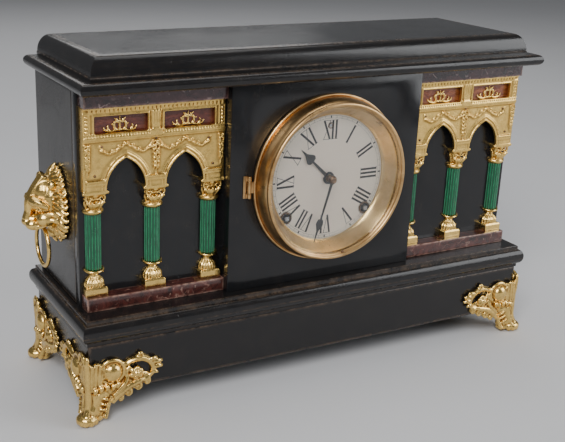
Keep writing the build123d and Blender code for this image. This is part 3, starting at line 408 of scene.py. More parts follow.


# %% Group: dirt in soft smudges and specks
def build_settled_dirt():
    """Mask of specks and soft smudges, thickest where the noise is deep."""
    group, entry, leave = new_group("settled_dirt", [("Amount", "NodeSocketFloat", 0.4),
                                                     ("Scale", "NodeSocketFloat", 90.0)],
                                    [("Mask", "NodeSocketFloat")])
    smudge = spread(group, noise(group, object_place(group), entry.outputs["Scale"], 7.0, 0.72), 0.48, 0.72)
    group.links.new(arithmetic(group, "MULTIPLY", smudge, entry.outputs["Amount"]), leave.inputs["Mask"])
    return group


effects = {"edge_wear": build_edge_wear(), "uneven_polish": build_uneven_polish(),
           "settled_dirt": build_settled_dirt()}
print("effects", sorted(effects))


def effect(tree, name, **values):
    node = add_node(tree, "ShaderNodeGroup")
    node.node_tree = effects[name]
    for key, value in values.items():
        node.inputs[key].default_value = value
    return node.outputs[0]


def new_finish(name, metallic=0.0, coat=0.0, coat_roughness=0.1, specular=0.5):
    """A material with its Principled shader, ready for its colour, roughness and bump."""
    material = bpy.data.materials.new(name)
    material.use_nodes = True
    tree = material.node_tree
    shader = tree.nodes["Principled BSDF"]
    shader.inputs["Metallic"].default_value = metallic
    shader.inputs["Coat Weight"].default_value = coat
    shader.inputs["Coat Roughness"].default_value = coat_roughness
    shader.inputs["Specular IOR Level"].default_value = specular
    return material, tree, shader


def set_bump(tree, shader, height, strength, distance):
    node = add_node(tree, "ShaderNodeBump")
    node.inputs["Strength"].default_value = strength
    node.inputs["Distance"].default_value = distance
    tree.links.new(height, node.inputs["Height"])
    tree.links.new(node.outputs["Normal"], shader.inputs["Normal"])


# %% [markdown]
# ## Finishes
# The case is black lacquer over wood, rubbed brown where hands and dusters catch its edges, with a
# faint grain that telegraphs through the gloss. Gilding is bright where it stands out and painted brown
# in its hollows as shade. The columns are glossy green, the dial is cream enamel, and the bezel is toned brass.

# %% Finish: ebonised wood
def ebonised(name, along=(6, 60, 60), tint=(0.0072, 0.0074, 0.0082), worn=(0.085, 0.055, 0.034), low=0.10,
             high=0.26):
    material, tree, shader = new_finish(name, coat=0.12, coat_roughness=0.08, specular=0.34)
    grain = noise(tree, object_place(tree, along), 14.0, 6.0, 0.6, 0.3)
    base = blend_colour(tree, spread(tree, grain, 0.35, 0.7, 0.0, 0.5), tint, (0.017, 0.0125, 0.010))
    dusty = effect(tree, "settled_dirt", Amount=0.10, Scale=60.0)
    base = blend_colour(tree, dusty, base, (0.06, 0.05, 0.04))
    edge = effect(tree, "edge_wear", Amount=0.9, Scale=150.0)
    base = blend_colour(tree, edge, base, worn)
    tree.links.new(base, shader.inputs["Base Color"])
    gloss = effect(tree, "uneven_polish", Low=low, High=high, Scale=16.0)
    tree.links.new(arithmetic(tree, "ADD", gloss, arithmetic(tree, "MULTIPLY", edge, 0.25)),
                   shader.inputs["Roughness"])
    ripples = noise(tree, object_place(tree, along), 26.0, 5.0, 0.6)
    nicks = spread(tree, noise(tree, object_place(tree), 210.0, 2.0, 0.5), 0.70, 0.78, 0.0, -1.5)
    set_bump(tree, shader, arithmetic(tree, "ADD", ripples, nicks), 0.16, 0.0006)
    return material


ebonised_long = ebonised("ebonised_lacquer")
ebonised_panel = ebonised("ebonised_panel_lacquer", (60, 60, 6), (0.0066, 0.0078, 0.0095), low=0.12,
                          high=0.24)
ebonised_side = ebonised("ebonised_side_lacquer", (60, 60, 6), (0.0078, 0.0072, 0.0070), low=0.14, high=0.32)


# %% Finish: marbled strips
def marbled(name, ground, dark, vein, vein_scale=34.0, vein_share=0.5):
    """Lacquer floated in clouds with thin pale veins, as makers did to copy marble."""
    material, tree, shader = new_finish(name, coat=0.5, coat_roughness=0.08)
    place = object_place(tree)
    clouds = noise(tree, place, 55.0, 8.0, 0.7, 1.6)
    colour = ramp(tree, clouds, [(0.34, dark), (0.52, ground), (0.70, tuple(1.8 * v for v in ground))])
    swirl = add_node(tree, "ShaderNodeTexWave", wave_type="RINGS")
    swirl.inputs["Scale"].default_value = vein_scale
    swirl.inputs["Distortion"].default_value = 14.0
    swirl.inputs["Detail"].default_value = 6.0
    swirl.inputs["Detail Scale"].default_value = 2.2
    tree.links.new(place, swirl.inputs["Vector"])
    thin = spread(tree, swirl.outputs["Fac"], 0.93, 0.995)
    patchy = spread(tree, noise(tree, place, 70.0, 3.0), 0.50, 0.62)
    veins = arithmetic(tree, "MULTIPLY", arithmetic(tree, "MULTIPLY", thin, patchy), vein_share)
    colour = blend_colour(tree, veins, colour, vein)
    specks = spread(tree, noise(tree, place, 330.0, 3.0, 0.6), 0.66, 0.72)
    colour = blend_colour(tree, arithmetic(tree, "MULTIPLY", specks, 0.55), colour, vein)
    edge = effect(tree, "edge_wear", Amount=0.8, Scale=170.0)
    colour = blend_colour(tree, edge, colour, (0.42, 0.26, 0.20))
    tree.links.new(colour, shader.inputs["Base Color"])
    tree.links.new(effect(tree, "uneven_polish", Low=0.14, High=0.32, Scale=30.0), shader.inputs["Roughness"])
    set_bump(tree, shader, clouds, 0.12, 0.0005)
    return material


sill_marble = marbled("sill_marbled_lacquer", (0.062, 0.017, 0.013), (0.012, 0.006, 0.006),
                      (0.42, 0.26, 0.20))
frieze_marble = marbled("frieze_marbled_lacquer", (0.050, 0.019, 0.020), (0.010, 0.007, 0.007),
                        (0.36, 0.26, 0.24), 26.0, 0.7)


# %% Finish: gilding
def gilded(name, bright=(0.86, 0.60, 0.22), deep=(0.30, 0.15, 0.035), low=0.20, high=0.42, fine=420.0):
    """Bright gilding with painted shade, brown in the hollows, and a pebbled cast skin."""
    material, tree, shader = new_finish(name, metallic=1.0)
    hollow = add_node(tree, "ShaderNodeAttribute", attribute_name="hollow").outputs["Fac"]
    drift = noise(tree, object_place(tree), 110.0, 6.0, 0.65)
    base = blend_colour(tree, spread(tree, drift, 0.35, 0.7), tuple(0.82 * v for v in bright), bright)
    dirt = effect(tree, "settled_dirt", Amount=0.35, Scale=240.0)
    base = blend_colour(tree, dirt, base, deep)
    # Painted shade: the hollows turn to the deep brown that the dirt specks also take.
    base = blend_colour(tree, arithmetic(tree, "MULTIPLY", hollow, 1.15), base, deep)
    tree.links.new(base, shader.inputs["Base Color"])
    gloss = effect(tree, "uneven_polish", Low=low, High=high, Scale=120.0)
    tree.links.new(arithmetic(tree, "ADD", gloss, arithmetic(tree, "MULTIPLY", hollow, 0.25)),
                   shader.inputs["Roughness"])
    set_bump(tree, shader, noise(tree, object_place(tree), fine, 4.0, 0.6), 0.25, 0.0004)
    return material


gilt = gilded("gilt_casting", (0.96, 0.64, 0.19), (0.20, 0.085, 0.02))
gilt_bright = gilded("gilt_casting_bright", (0.97, 0.66, 0.21), (0.20, 0.085, 0.02), 0.15, 0.32)


# %% Finish: plain metals
def metal(name, colour, dark, low, high, fine=(400, 400, 400), strength=0.1):
    material, tree, shader = new_finish(name, metallic=1.0)
    drift = noise(tree, object_place(tree), 60.0, 6.0, 0.7, 0.5)
    base = blend_colour(tree, spread(tree, drift, 0.4, 0.72), colour, dark)
    tree.links.new(base, shader.inputs["Base Color"])
    tree.links.new(effect(tree, "uneven_polish", Low=low, High=high, Scale=50.0), shader.inputs["Roughness"])
    set_bump(tree, shader, noise(tree, object_place(tree, fine), 1.0, 3.0), strength, 0.0002)
    return material


bezel_metal = metal("bezel_toned_brass", (0.66, 0.43, 0.20), (0.42, 0.24, 0.10), 0.24, 0.40, (300, 300, 300))
reflector_metal = metal("reflector_gilt", (0.78, 0.56, 0.27), (0.56, 0.37, 0.15), 0.24, 0.42)
movement_metal = metal("movement_brushed_brass", (0.74, 0.55, 0.27), (0.50, 0.34, 0.15), 0.25, 0.42,
                       (60, 900, 900))
steel_metal = metal("polished_steel", (0.50, 0.50, 0.51), (0.28, 0.26, 0.25), 0.20, 0.42, (900, 80, 900))
iron_metal = metal("japanned_iron", (0.035, 0.035, 0.038), (0.075, 0.05, 0.035), 0.35, 0.55, (200, 200, 200),
                   0.3)
nut_metal = metal("dark_bronze", (0.20, 0.12, 0.07), (0.09, 0.05, 0.03), 0.22, 0.4)
door_metal = metal("tinned_sheet", (0.36, 0.33, 0.28), (0.20, 0.16, 0.12), 0.35, 0.55, (90, 90, 90), 0.25)


# %% Finish: green lacquer for the columns
def green_lacquer():
    material, tree, shader = new_finish("malachite_green_lacquer", coat=0.35, coat_roughness=0.07)
    height = noise(tree, object_place(tree, (40, 40, 6)), 20.0, 5.0, 0.6)
    base = ramp(tree, height, [(0.3, (0.0025, 0.075, 0.028)), (0.55, (0.004, 0.165, 0.062)),
                               (0.75, (0.010, 0.27, 0.11))])
    # Painted shade: the flutes darken towards a near-black green.
    hollow = add_node(tree, "ShaderNodeAttribute", attribute_name="hollow").outputs["Fac"]
    base = blend_colour(tree, arithmetic(tree, "MULTIPLY", hollow, 0.8), base, (0.001, 0.030, 0.014))
    # Painted highlight: the ridges between the flutes, marked as edge, turn a lighter green in patches from the wear
    # mask.
    edge = effect(tree, "edge_wear", Amount=0.28, Scale=260.0)
    base = blend_colour(tree, edge, base, (0.08, 0.40, 0.22))
    tree.links.new(base, shader.inputs["Base Color"])
    tree.links.new(effect(tree, "uneven_polish", Low=0.12, High=0.28, Scale=60.0), shader.inputs["Roughness"])
    set_bump(tree, shader, height, 0.15, 0.0003)
    return material


column_green = green_lacquer()


# %% Finish: cream dial enamel, black print and the glass
def dial_enamel():
    material, tree, shader = new_finish("cream_dial_enamel", coat=0.2, coat_roughness=0.15)
    middle = (0.0, 0.0, -0.1695)
    centred = object_place(tree, shift=middle)
    radial = add_node(tree, "ShaderNodeVectorMath", operation="LENGTH")
    tree.links.new(centred, radial.inputs[0])
    blush = spread(tree, radial.outputs["Value"], 0.060, 0.082)
    base = blend_colour(tree, blush, (0.93, 0.80, 0.69), (0.94, 0.88, 0.78))
    mottled = noise(tree, object_place(tree), 95.0, 7.0, 0.7)
    base = blend_colour(tree, spread(tree, mottled, 0.42, 0.75, 0.0, 0.35), base, (0.84, 0.73, 0.58))
    foxing = spread(tree, noise(tree, object_place(tree), 420.0, 4.0, 0.6), 0.69, 0.76, 0.0, 0.5)
    base = blend_colour(tree, foxing, base, (0.40, 0.27, 0.15))
    tree.links.new(base, shader.inputs["Base Color"])
    tree.links.new(effect(tree, "uneven_polish", Low=0.35, High=0.55, Scale=40.0), shader.inputs["Roughness"])
    set_bump(tree, shader, mottled, 0.08, 0.0003)
    return material


def black_paint(name, colour, low, high):
    material, tree, shader = new_finish(name)
    faded = noise(tree, object_place(tree), 260.0, 5.0, 0.7)
    base = blend_colour(tree, spread(tree, faded, 0.5, 0.75, 0.0, 0.5), colour,
                        tuple(3.2 * v + 0.02 for v in colour))
    tree.links.new(base, shader.inputs["Base Color"])
    tree.links.new(effect(tree, "uneven_polish", Low=low, High=high, Scale=90.0), shader.inputs["Roughness"])
    set_bump(tree, shader, faded, 0.1, 0.0002)
    return material


def clear_glass():
    material, tree, shader = new_finish("clear_bezel_glass")
    shader.inputs["Roughness"].default_value = 0.02
    shader.inputs["Transmission Weight"].default_value = 1.0
    shader.inputs["IOR"].default_value = 1.45
    shader.inputs["Base Color"].default_value = (0.97, 0.98, 0.97, 1)
    film = noise(tree, object_place(tree), 40.0, 4.0, 0.6)
    set_bump(tree, shader, film, 0.03, 0.0002)
    return material


enamel = dial_enamel()
print_black = black_paint("dial_print_black", (0.012, 0.011, 0.012), 0.4, 0.6)
hand_black = black_paint("hand_black", (0.008, 0.008, 0.010), 0.25, 0.42)
glass = clear_glass()


# %% Finish: stained softwood for the back
def stained_wood():
    material, tree, shader = new_finish("stained_softwood", coat=0.05)
    fibres = noise(tree, object_place(tree, (3, 60, 60)), 30.0, 8.0, 0.65, 0.4)
    base = ramp(tree, fibres, [(0.3, (0.030, 0.017, 0.010)), (0.55, (0.085, 0.047, 0.026)),
                               (0.8, (0.15, 0.09, 0.05))])
    base = blend_colour(tree, effect(tree, "settled_dirt", Amount=0.6, Scale=30.0), base,
                        (0.035, 0.025, 0.02))
    base = blend_colour(tree, effect(tree, "edge_wear", Amount=0.7, Scale=120.0), base, (0.22, 0.14, 0.08))
    tree.links.new(base, shader.inputs["Base Color"])
    tree.links.new(effect(tree, "uneven_polish", Low=0.45, High=0.7, Scale=30.0), shader.inputs["Roughness"])
    set_bump(tree, shader, fibres, 0.4, 0.0006)
    return material


back_wood = stained_wood()


# %% Finish: oxblood and flame inserts behind the windows
def insert_lacquer():
    """Left inserts are oxblood; towards the right they flame to mahogany orange."""
    material, tree, shader = new_finish("window_insert_lacquer", coat=0.3, coat_roughness=0.12)
    flame = noise(tree, object_place(tree, (1, 1, 2.4)), 75.0, 7.0, 0.7, 1.8)
    dark = ramp(tree, flame, [(0.3, (0.030, 0.008, 0.006)), (0.52, (0.095, 0.020, 0.012)),
                              (0.75, (0.20, 0.06, 0.03))])
    bright = ramp(tree, flame, [(0.3, (0.045, 0.010, 0.006)), (0.52, (0.20, 0.050, 0.015)),
                                (0.75, (0.48, 0.17, 0.06))])
    split = add_node(tree, "ShaderNodeSeparateXYZ")
    tree.links.new(object_place(tree), split.inputs["Vector"])
    base = blend_colour(tree, spread(tree, split.outputs["X"], -0.05, 0.12), dark, bright)
    tree.links.new(base, shader.inputs["Base Color"])
    tree.links.new(effect(tree, "uneven_polish", Low=0.2, High=0.4, Scale=60.0), shader.inputs["Roughness"])
    set_bump(tree, shader, flame, 0.2, 0.0004)
    return material


insert_red = insert_lacquer()
print("finishes", len(bpy.data.materials))


# %% [markdown]
# ## The wooden case
# Lacquered boards have edges that are eased by hand, never knife sharp, and that show brown where
# the lacquer has rubbed through. Each board is a cube brought to its node's corners, with its edges
# bevelled; a border is inset round each face, and an attribute called edge marks everything
# outside it, so that the wear has somewhere to fade to.

# %% Boards with eased, worn edges
def mark_edges(piece, is_inner):
    """Writes the edge attribute: 0 on inner corners of the wide faces, 1 elsewhere."""
    values = [0.0 if inner else 1.0 for inner in is_inner]
    attribute = piece.data.attributes.new("edge", "FLOAT", "POINT")
    attribute.data.foreach_set("value", values)


def ease_and_mark(piece, ease, border):
    """Edges bevelled by ease, then a border inset on the wide faces."""
    settle(piece)
    apply_modifier(piece, "BEVEL", width=ease * MM, segments=3, limit_method="ANGLE",
                   angle_limit=math.radians(30),
                   harden_normals=False)
    return inset_and_mark(piece, border)


def inset_and_mark(piece, border, smallest=60.0):
    """Inset all faces wider than the border and mark the rest as edge."""
    pick(piece)
    mesh = piece.data
    wide = [face.area > smallest * MM * MM and min_side(mesh, face) > 2.4 * border * MM
            for face in mesh.polygons]
    bpy.ops.object.mode_set(mode="EDIT")
    bpy.ops.mesh.select_mode(type="FACE")
    bpy.ops.mesh.select_all(action="DESELECT")
    bpy.ops.object.mode_set(mode="OBJECT")
    for face, chosen in zip(mesh.polygons, wide):
        face.select = chosen
    bpy.ops.object.mode_set(mode="EDIT")
    bpy.ops.mesh.inset(thickness=border * MM, depth=0.0, use_individual=True)
    bpy.ops.object.mode_set(mode="OBJECT")
    inner = {v for face in piece.data.polygons if face.select for v in face.vertices}
    mark_edges(piece, [n in inner for n in range(len(piece.data.vertices))])
    smooth(piece, 30)
    return piece


def min_side(mesh, face):
    return min((mesh.vertices[a].co - mesh.vertices[b].co).length for a, b in face.edge_keys)


def board_at(name, low, high, ease=0.8, border=2.6):
    bpy.ops.mesh.primitive_cube_add(size=1, location=(low + high) / 2)
    piece = bpy.context.object
    piece.scale = high - low
    piece.name = name
    return ease_and_mark(piece, ease, border)


for node, finish in (("side_board_right", ebonised_side), ("side_board_left", ebonised_side)):
    piece = board_at(node + "_wood", *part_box(node))
    finish_piece(piece, finish, "case", "ebonised_wood", node)
print("side boards made")


# %% [markdown]
# The plinth is four mitred boards round a hollow. It is drawn as a ring: an open tube of four
# sides with a wall, so the mitres stay closed and the hollow underneath stays open.

# %% Plinth
def ring_of_boards(name, low, high, wall):
    bpy.ops.mesh.primitive_cube_add(size=1, location=(low + high) / 2)
    piece = bpy.context.object
    piece.scale = high - low
    settle(piece)
    bpy.ops.object.mode_set(mode="EDIT")
    bpy.ops.mesh.select_mode(type="FACE")
    bpy.ops.mesh.select_all(action="DESELECT")
    bpy.ops.object.mode_set(mode="OBJECT")
    for face in piece.data.polygons:
        face.select = abs(face.normal.z) > 0.9
    bpy.ops.object.mode_set(mode="EDIT")
    bpy.ops.mesh.delete(type="FACE")
    bpy.ops.object.mode_set(mode="OBJECT")
    apply_modifier(piece, "SOLIDIFY", thickness=wall * MM, offset=-1.0, use_even_offset=True)
    piece.name = name
    return piece


plinth = ring_of_boards("plinth_wood", *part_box("plinth_boards"), 10.0)
ease_and_mark(plinth, 1.0, 2.6)
finish_piece(plinth, ebonised_long, "case", "ebonised_wood", "plinth_boards")


# %% [markdown]
# Mouldings run round the case. A moulding is one profile swept round a rectangle, so it is built
# from a stack of rectangular outlines, one for each point of the profile, bridged from one to the
# next. Corners come out mitred, as a joiner would cut them.

# %% Stacked mouldings
def stacked(name, low, high, profile):
    """Closed solid through rectangles shrunk by (inset, height) steps, in millimetres, from low to high."""
    rings = []
    for inset, height in profile:
        bpy.ops.mesh.primitive_plane_add(size=1, location=((low.x + high.x) / 2, (low.y + high.y) / 2,
                low.z + height * MM))
        ring = bpy.context.object
        ring.scale = (high.x - low.x - 2 * inset * MM, high.y - low.y - 2 * inset * MM, 1)
        rings.append(settle(ring))
    piece = joined(rings, name)
    bpy.ops.object.mode_set(mode="EDIT")
    bpy.ops.mesh.select_all(action="SELECT")
    bpy.ops.mesh.delete(type="ONLY_FACE")
    bpy.ops.mesh.select_mode(type="EDGE")
    for n in range(len(profile) - 1):
        bpy.ops.mesh.select_all(action="DESELECT")
        bpy.ops.object.mode_set(mode="OBJECT")
        chosen = set(range(4 * n, 4 * n + 8))
        for edge in piece.data.edges:
            edge.select = set(edge.vertices) <= chosen and (edge.vertices[0] // 4 == edge.vertices[1] // 4)
        bpy.ops.object.mode_set(mode="EDIT")
        bpy.ops.mesh.bridge_edge_loops()
    for end in (0, len(profile) - 1):
        bpy.ops.mesh.select_all(action="DESELECT")
        bpy.ops.object.mode_set(mode="OBJECT")
        chosen = set(range(4 * end, 4 * end + 4))
        for edge in piece.data.edges:
            edge.select = set(edge.vertices) <= chosen
        bpy.ops.object.mode_set(mode="EDIT")
        bpy.ops.mesh.edge_face_add()
    bpy.ops.object.mode_set(mode="OBJECT")
    return recalculate(piece, 0.000001)


def nose(depth, bottom, top, steps=10):
    """Half-round nose, deepest at its middle, as (inset, height) points."""
    middle, half = (bottom + top) / 2, (top - bottom) / 2
    angles = [-math.pi / 2 + math.pi * n / steps for n in range(steps + 1)]
    return [(depth - depth * math.cos(a), middle + half * math.sin(a)) for a in angles]


def moulding_piece(name, node, profile, wear_at):
    """Moulding with its edge attribute set at the given heights of the profile."""
    low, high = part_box(node)
    piece = stacked(name, low, high, profile)
    return mark_heights(piece, low.z, wear_at)


def mark_heights(piece, floor, wear_at, reach=1.6):
    """Insets the flat top and marks as edge what is near one of the heights, in millimetres."""
    inset_and_mark(piece, 3.0, 2000.0)
    attribute = piece.data.attributes["edge"]
    values = [0.0] * len(piece.data.vertices)
    attribute.data.foreach_get("value", values)
    for n, vertex in enumerate(piece.data.vertices):
        height = (vertex.co.z - floor) / MM
        near = max(0.0, 1.0 - min(abs(height - z) for z in wear_at) / reach)
        values[n] = values[n] * near
    attribute.data.foreach_set("value", values)
    return piece


moulding_low, moulding_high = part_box("base_moulding")
moulding_tall = (moulding_high.z - moulding_low.z) / MM
base_profile = [(4.2, 0.0), (4.2, 2.6), (3.8, 3.0)] + nose(4.2, 3.2, moulding_tall - 3.4, 12)[1:-1]
base_profile += [(3.9, moulding_tall - 3.3), (4.4, moulding_tall - 3.2), (4.4, moulding_tall - 0.6),
                 (5.0, moulding_tall)]
moulding = moulding_piece("base_moulding_wood", "base_moulding", base_profile,
                          [2.8, 8.0, moulding_tall - 3.2, moulding_tall])
finish_piece(moulding, ebonised_long, "case", "ebonised_wood", "base_moulding")

cornice_low, cornice_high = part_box("cornice_board")
cornice_tall = (cornice_high.z - cornice_low.z) / MM
cornice_profile = [(cornice_tall / 2 + 2.0, 0.0)] + nose(cornice_tall / 2, 0.0, cornice_tall, 12)
cornice = moulding_piece("cornice_wood", "cornice_board", cornice_profile, [0.0, 1.2, cornice_tall])
finish_piece(cornice, ebonised_long, "case", "ebonised_wood", "cornice_board")

cap_low, cap_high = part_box("top_cap")
cap_tall = (cap_high.z - cap_low.z) / MM
cap_sweep, cap_step = 9.4, 2.2
rise = cap_tall - cap_step
quarter = [(cap_sweep * (1 - math.cos(a)), cap_step + rise * math.sin(a))
           for a in [math.pi / 24 * n for n in range(12)]]
cap_profile = [(0.0, 0.0), (0.0, cap_step - 0.3), (0.4, cap_step)] + [(0.4 + p[0], p[1]) for p in quarter[1:]]
cap_profile += [(cap_sweep + 0.2, cap_tall - 0.15), (cap_sweep + 1.4, cap_tall)]
cap = moulding_piece("top_cap_wood", "top_cap", cap_profile, [cap_step, cap_tall])
finish_piece(cap, ebonised_long, "case", "ebonised_wood", "top_cap")
print("mouldings made")


# %% [markdown]
# The front board and the proud centre panel have a round hole for the dial. Their frame nodes have
# the right holes, so a merged copy of the node is eased with a bevel on its long straight arrises.

# %% Front board, centre panel and back board
def eased_copy(name, node, ease):
    piece = copied(nodes[node], name, (0, 0, 0))
    for key in [k for k in piece.keys() if k.startswith("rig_")]:
        del piece[key]
    piece.parent = None
    recalculate(piece, 0.00002)
    pick(piece)
    bpy.ops.object.mode_set(mode="EDIT")
    bpy.ops.mesh.select_all(action="SELECT")
    bpy.ops.mesh.dissolve_limited(angle_limit=math.radians(2))
    bpy.ops.object.mode_set(mode="OBJECT")
    apply_modifier(piece, "BEVEL", width=ease * MM, segments=2, limit_method="ANGLE",
                   angle_limit=math.radians(50))
    return smooth(piece, 30)


for name, node, finish in (("front_board_wood", "front_board", ebonised_panel),
                           ("front_panel_wood", "front_panel", ebonised_panel),
                           ("back_board_wood", "back_board", back_wood)):
    slot = "plain_wood" if node == "back_board" else "ebonised_wood"
    finish_piece(eased_copy(name, node, 0.5), finish, "case", slot, node)
print("boards with the round hole eased")


# %% [markdown]
# ## Marbled strips and window inserts
# A marbled strip lies under each group of columns and another over each arcade. Behind the
# arcade's windows sits a thin red insert. The frame keeps strip and insert as one node; here they
# are separate, because their finishes differ.

# %% Strips and inserts
sill_low, sill_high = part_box("sill_strips")
frieze_low, frieze_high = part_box("frieze_strips")
panel_low, panel_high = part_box("front_panel")
arcade_low, arcade_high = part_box("arcade_right")
front_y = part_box("front_board")[0].y
inner_x = panel_high.x

made = {"sill": [], "frieze": [], "insert": []}
for side, label in ((1, "right"), (-1, "left")):
    spans = {"sill": ((inner_x, sill_low.y, sill_low.z), (sill_high.x, front_y, sill_high.z)),
             "frieze": ((inner_x, frieze_low.y, arcade_high.z), (frieze_high.x, front_y, frieze_high.z)),
             "insert": ((arcade_low.x + 3 * MM, front_y - 4.6 * MM, frieze_low.z),
                        (arcade_high.x - 3 * MM, front_y, arcade_high.z))}
    for kind, (low, high) in spans.items():
        low, high = Vector(low), Vector(high)
        if side < 0:
            low.x, high.x = -high.x, -low.x
        made[kind].append(board_at(f"{kind}_{label}", low, high, 0.5, 1.8))
for kind, finish in (("sill", sill_marble), ("frieze", frieze_marble), ("insert", insert_red)):
    for piece in made[kind]:
        nodes_for = {"sill": ("sill_strips",), "frieze": ("frieze_strips",),
                     "insert": ("frieze_strips",)}[kind]
        finish_piece(piece, finish, "case", "marbled_wood", *nodes_for)
print("strips", [len(v) for v in made.values()])


# %% [markdown]
# ## The arcades
# Each arcade is one stamped and gilt casting: two windows under a row of dentils, two pointed
# arches with double rims, swags, hanging leaves, and three capitals. A pointed arch is where two
# circles overlap, so its cutter is the part that two cylinders share. The sheet is cut first, then
# all the ornament is laid on it and cast in one skin.

# %% Arcade measures, in millimetres
arcade_x0, arcade_x1 = arcade_low.x / MM, arcade_high.x / MM
column_centres = [193.1, 145.6, 98.1]
arcade_bottom = 177.0
arcade_top = arcade_high.z / MM
face_y = -43.9
wall_y = front_y / MM
sheet = 2.4
windows = [(97.5, 139.2), (152.0, 193.6)]
window_z = (219.4, 232.3)
arch_half, arch_rise = 15.5, 23.2
arch_radius = (arch_rise ** 2 + arch_half ** 2) / (2 * arch_half)
arch_shift = arch_radius - arch_half
arch_centres = [(column_centres[n] + column_centres[n + 1]) / 2 for n in range(2)]


# %% Cutting and laying tools
def tube_y(x, z, radius, y0, y1, sides=96):
    bpy.ops.mesh.primitive_cylinder_add(vertices=sides, radius=radius * MM, depth=(y1 - y0) * MM,
                                        location=(x * MM, (y0 + y1) / 2 * MM, z * MM), rotation=(math.pi / 2,
                                                0, 0))
    return bpy.context.object


def boolean(piece, other, operation):
    settle(piece)
    settle(other)
    apply_modifier(piece, "BOOLEAN", object=other, operation=operation, solver="EXACT")
    bpy.data.objects.remove(other)
    return piece


def arch_line(centre, grow, steps=9):
    """Points of an arch's outline, a little outside its opening, from foot to foot."""
    reach = arch_radius + grow
    top = math.sqrt(reach ** 2 - arch_shift ** 2)
    left = []
    for n in range(steps + 1):
        angle = math.asin(min(1.0, top / reach)) * n / steps
        left.append((centre + arch_shift - reach * math.cos(angle), arcade_bottom + reach * math.sin(angle)))
    return left + [(2 * centre - x, z) for x, z in reversed(left[:-1])]


def laid(points, radius, depth=face_y, ends=None):
    """A rib that follows (x, z) points on the arcade's face."""
    radii = [radius] * len(points) if ends is None else [radius
            * (ends + (1 - ends) * math.sin(math.pi * n / (len(points) - 1)))
                                                         for n in range(len(points))]
    return stroke([(x, depth, z) for x, z in points], radii)


# %% Arcade sheet
def arcade_sheet():
    plate = bar((arcade_x0, face_y, arcade_bottom), (arcade_x1, face_y + sheet, arcade_top))
    for x0, x1 in windows:
        plate = boolean(plate, bar((x0, face_y - 5, window_z[0]), (x1, face_y + 5, window_z[1])),
                        "DIFFERENCE")
    for centre in arch_centres:
        arch = tube_y(centre - arch_shift, arcade_bottom, arch_radius, face_y - 5, face_y + 6)
        arch = boolean(arch, tube_y(centre + arch_shift, arcade_bottom, arch_radius, face_y - 6, face_y + 7),
                       "INTERSECT")
        plate = boolean(plate, arch, "DIFFERENCE")
    sides = [bar((x, face_y, arcade_bottom), (x + 2.4, wall_y + 0.2, arcade_top))
             for x in (arcade_x0, arcade_x1 - 2.4)]
    return [plate] + sides


# %% Arcade frame work: dentils, beads, mouldings and the pilaster
def frame_work():
    parts = []
    top, bottom = arcade_top, window_z[0]
    for z, half, proud in ((top - 0.7, 0.7, 0.9), (top - 4.4, 0.45, 0.5), (bottom - 0.6, 0.5, 0.8),
                           (bottom - 3.3, 0.8, 1.3), (bottom - 5.3, 0.55, 0.8)):
        parts.append(bar((arcade_x0, face_y - proud, z - half), (arcade_x1, face_y + 0.5, z + half)))
    pitch = 3.3
    for n in range(int((arcade_x1 - arcade_x0 - 2) / pitch)):
        x = arcade_x0 + 2.4 + n * pitch
        parts.append(bar((x - 0.95, face_y - 0.9, top - 3.5), (x + 0.95, face_y + 0.5, top - 1.6)))
    for n in range(int((arcade_x1 - arcade_x0) / 2.3)):
        parts.append(lump((arcade_x0 + 1.5 + n * 2.3, face_y - 0.3, bottom - 1.85), (0.95, 0.9, 0.85)))
    for x in (arcade_x0 + 2.6, arcade_x1 - 2.6):
        for n in range(5):
            parts.append(lump((x, face_y - 0.2, bottom + 1.6 + n * 2.7), (1.0, 0.9, 1.0)))
        for edge in (-2.0, 2.2):
            parts.append(bar((x + edge - 0.4, face_y - 0.6, bottom), (x + edge + 0.4, face_y + 0.5, top - 4)))
    for x0, x1 in windows:
        for x in (x0 - 0.5, x1 + 0.5):
            parts.append(bar((x - 0.5, face_y - 0.8, window_z[0]), (x + 0.5, face_y + 0.5, window_z[1])))
        parts.append(bar((x0 - 1, face_y - 0.8, window_z[1]), (x1 + 1, face_y + 0.5, window_z[1] + 0.9)))
    middle = column_centres[1]
    for offset in (-3.2, -1.1, 1.1, 3.2):
        parts.append(stroke([(middle + offset * 0.7, face_y - 0.4, bottom + 0.4),
                             (middle + offset, face_y - 0.5, top - 4.8)],
                            [0.75, 0.95], straight=True))
    parts.append(bar((middle - 5.0, face_y - 1.6, bottom - 4.4), (middle + 5.0, face_y + 0.5, bottom + 0.6)))
    return parts


# %% Arcade relief: rims, swags, hanging leaves, fillets and nails
def leaf_drop(x, top, bottom, width=2.3):
    """A garland of paired leaves that hangs and gets narrower."""
    parts = []
    count = 7
    for n in range(count):
        z = top + (bottom - top) * n / count
        size = width * (1 - 0.45 * n / count)
        for hand in (-1, 1):
            parts.append(stroke([(x, face_y - 0.4, z + 0.6), (x + hand * size * 0.7, face_y - 1.1, z + 0.2),
                                 (x + hand * size, face_y - 0.5, z - 2.2)], [0.5, 0.85, 0.3]))
        parts.append(lump((x + (0.5 if n % 2 else -0.5), face_y - 0.9, z - 1.2), (0.8, 0.9, 1.1)))
    parts.append(lump((x, face_y - 0.4, bottom - 1.2), (0.7, 0.7, 2.0)))
    return parts


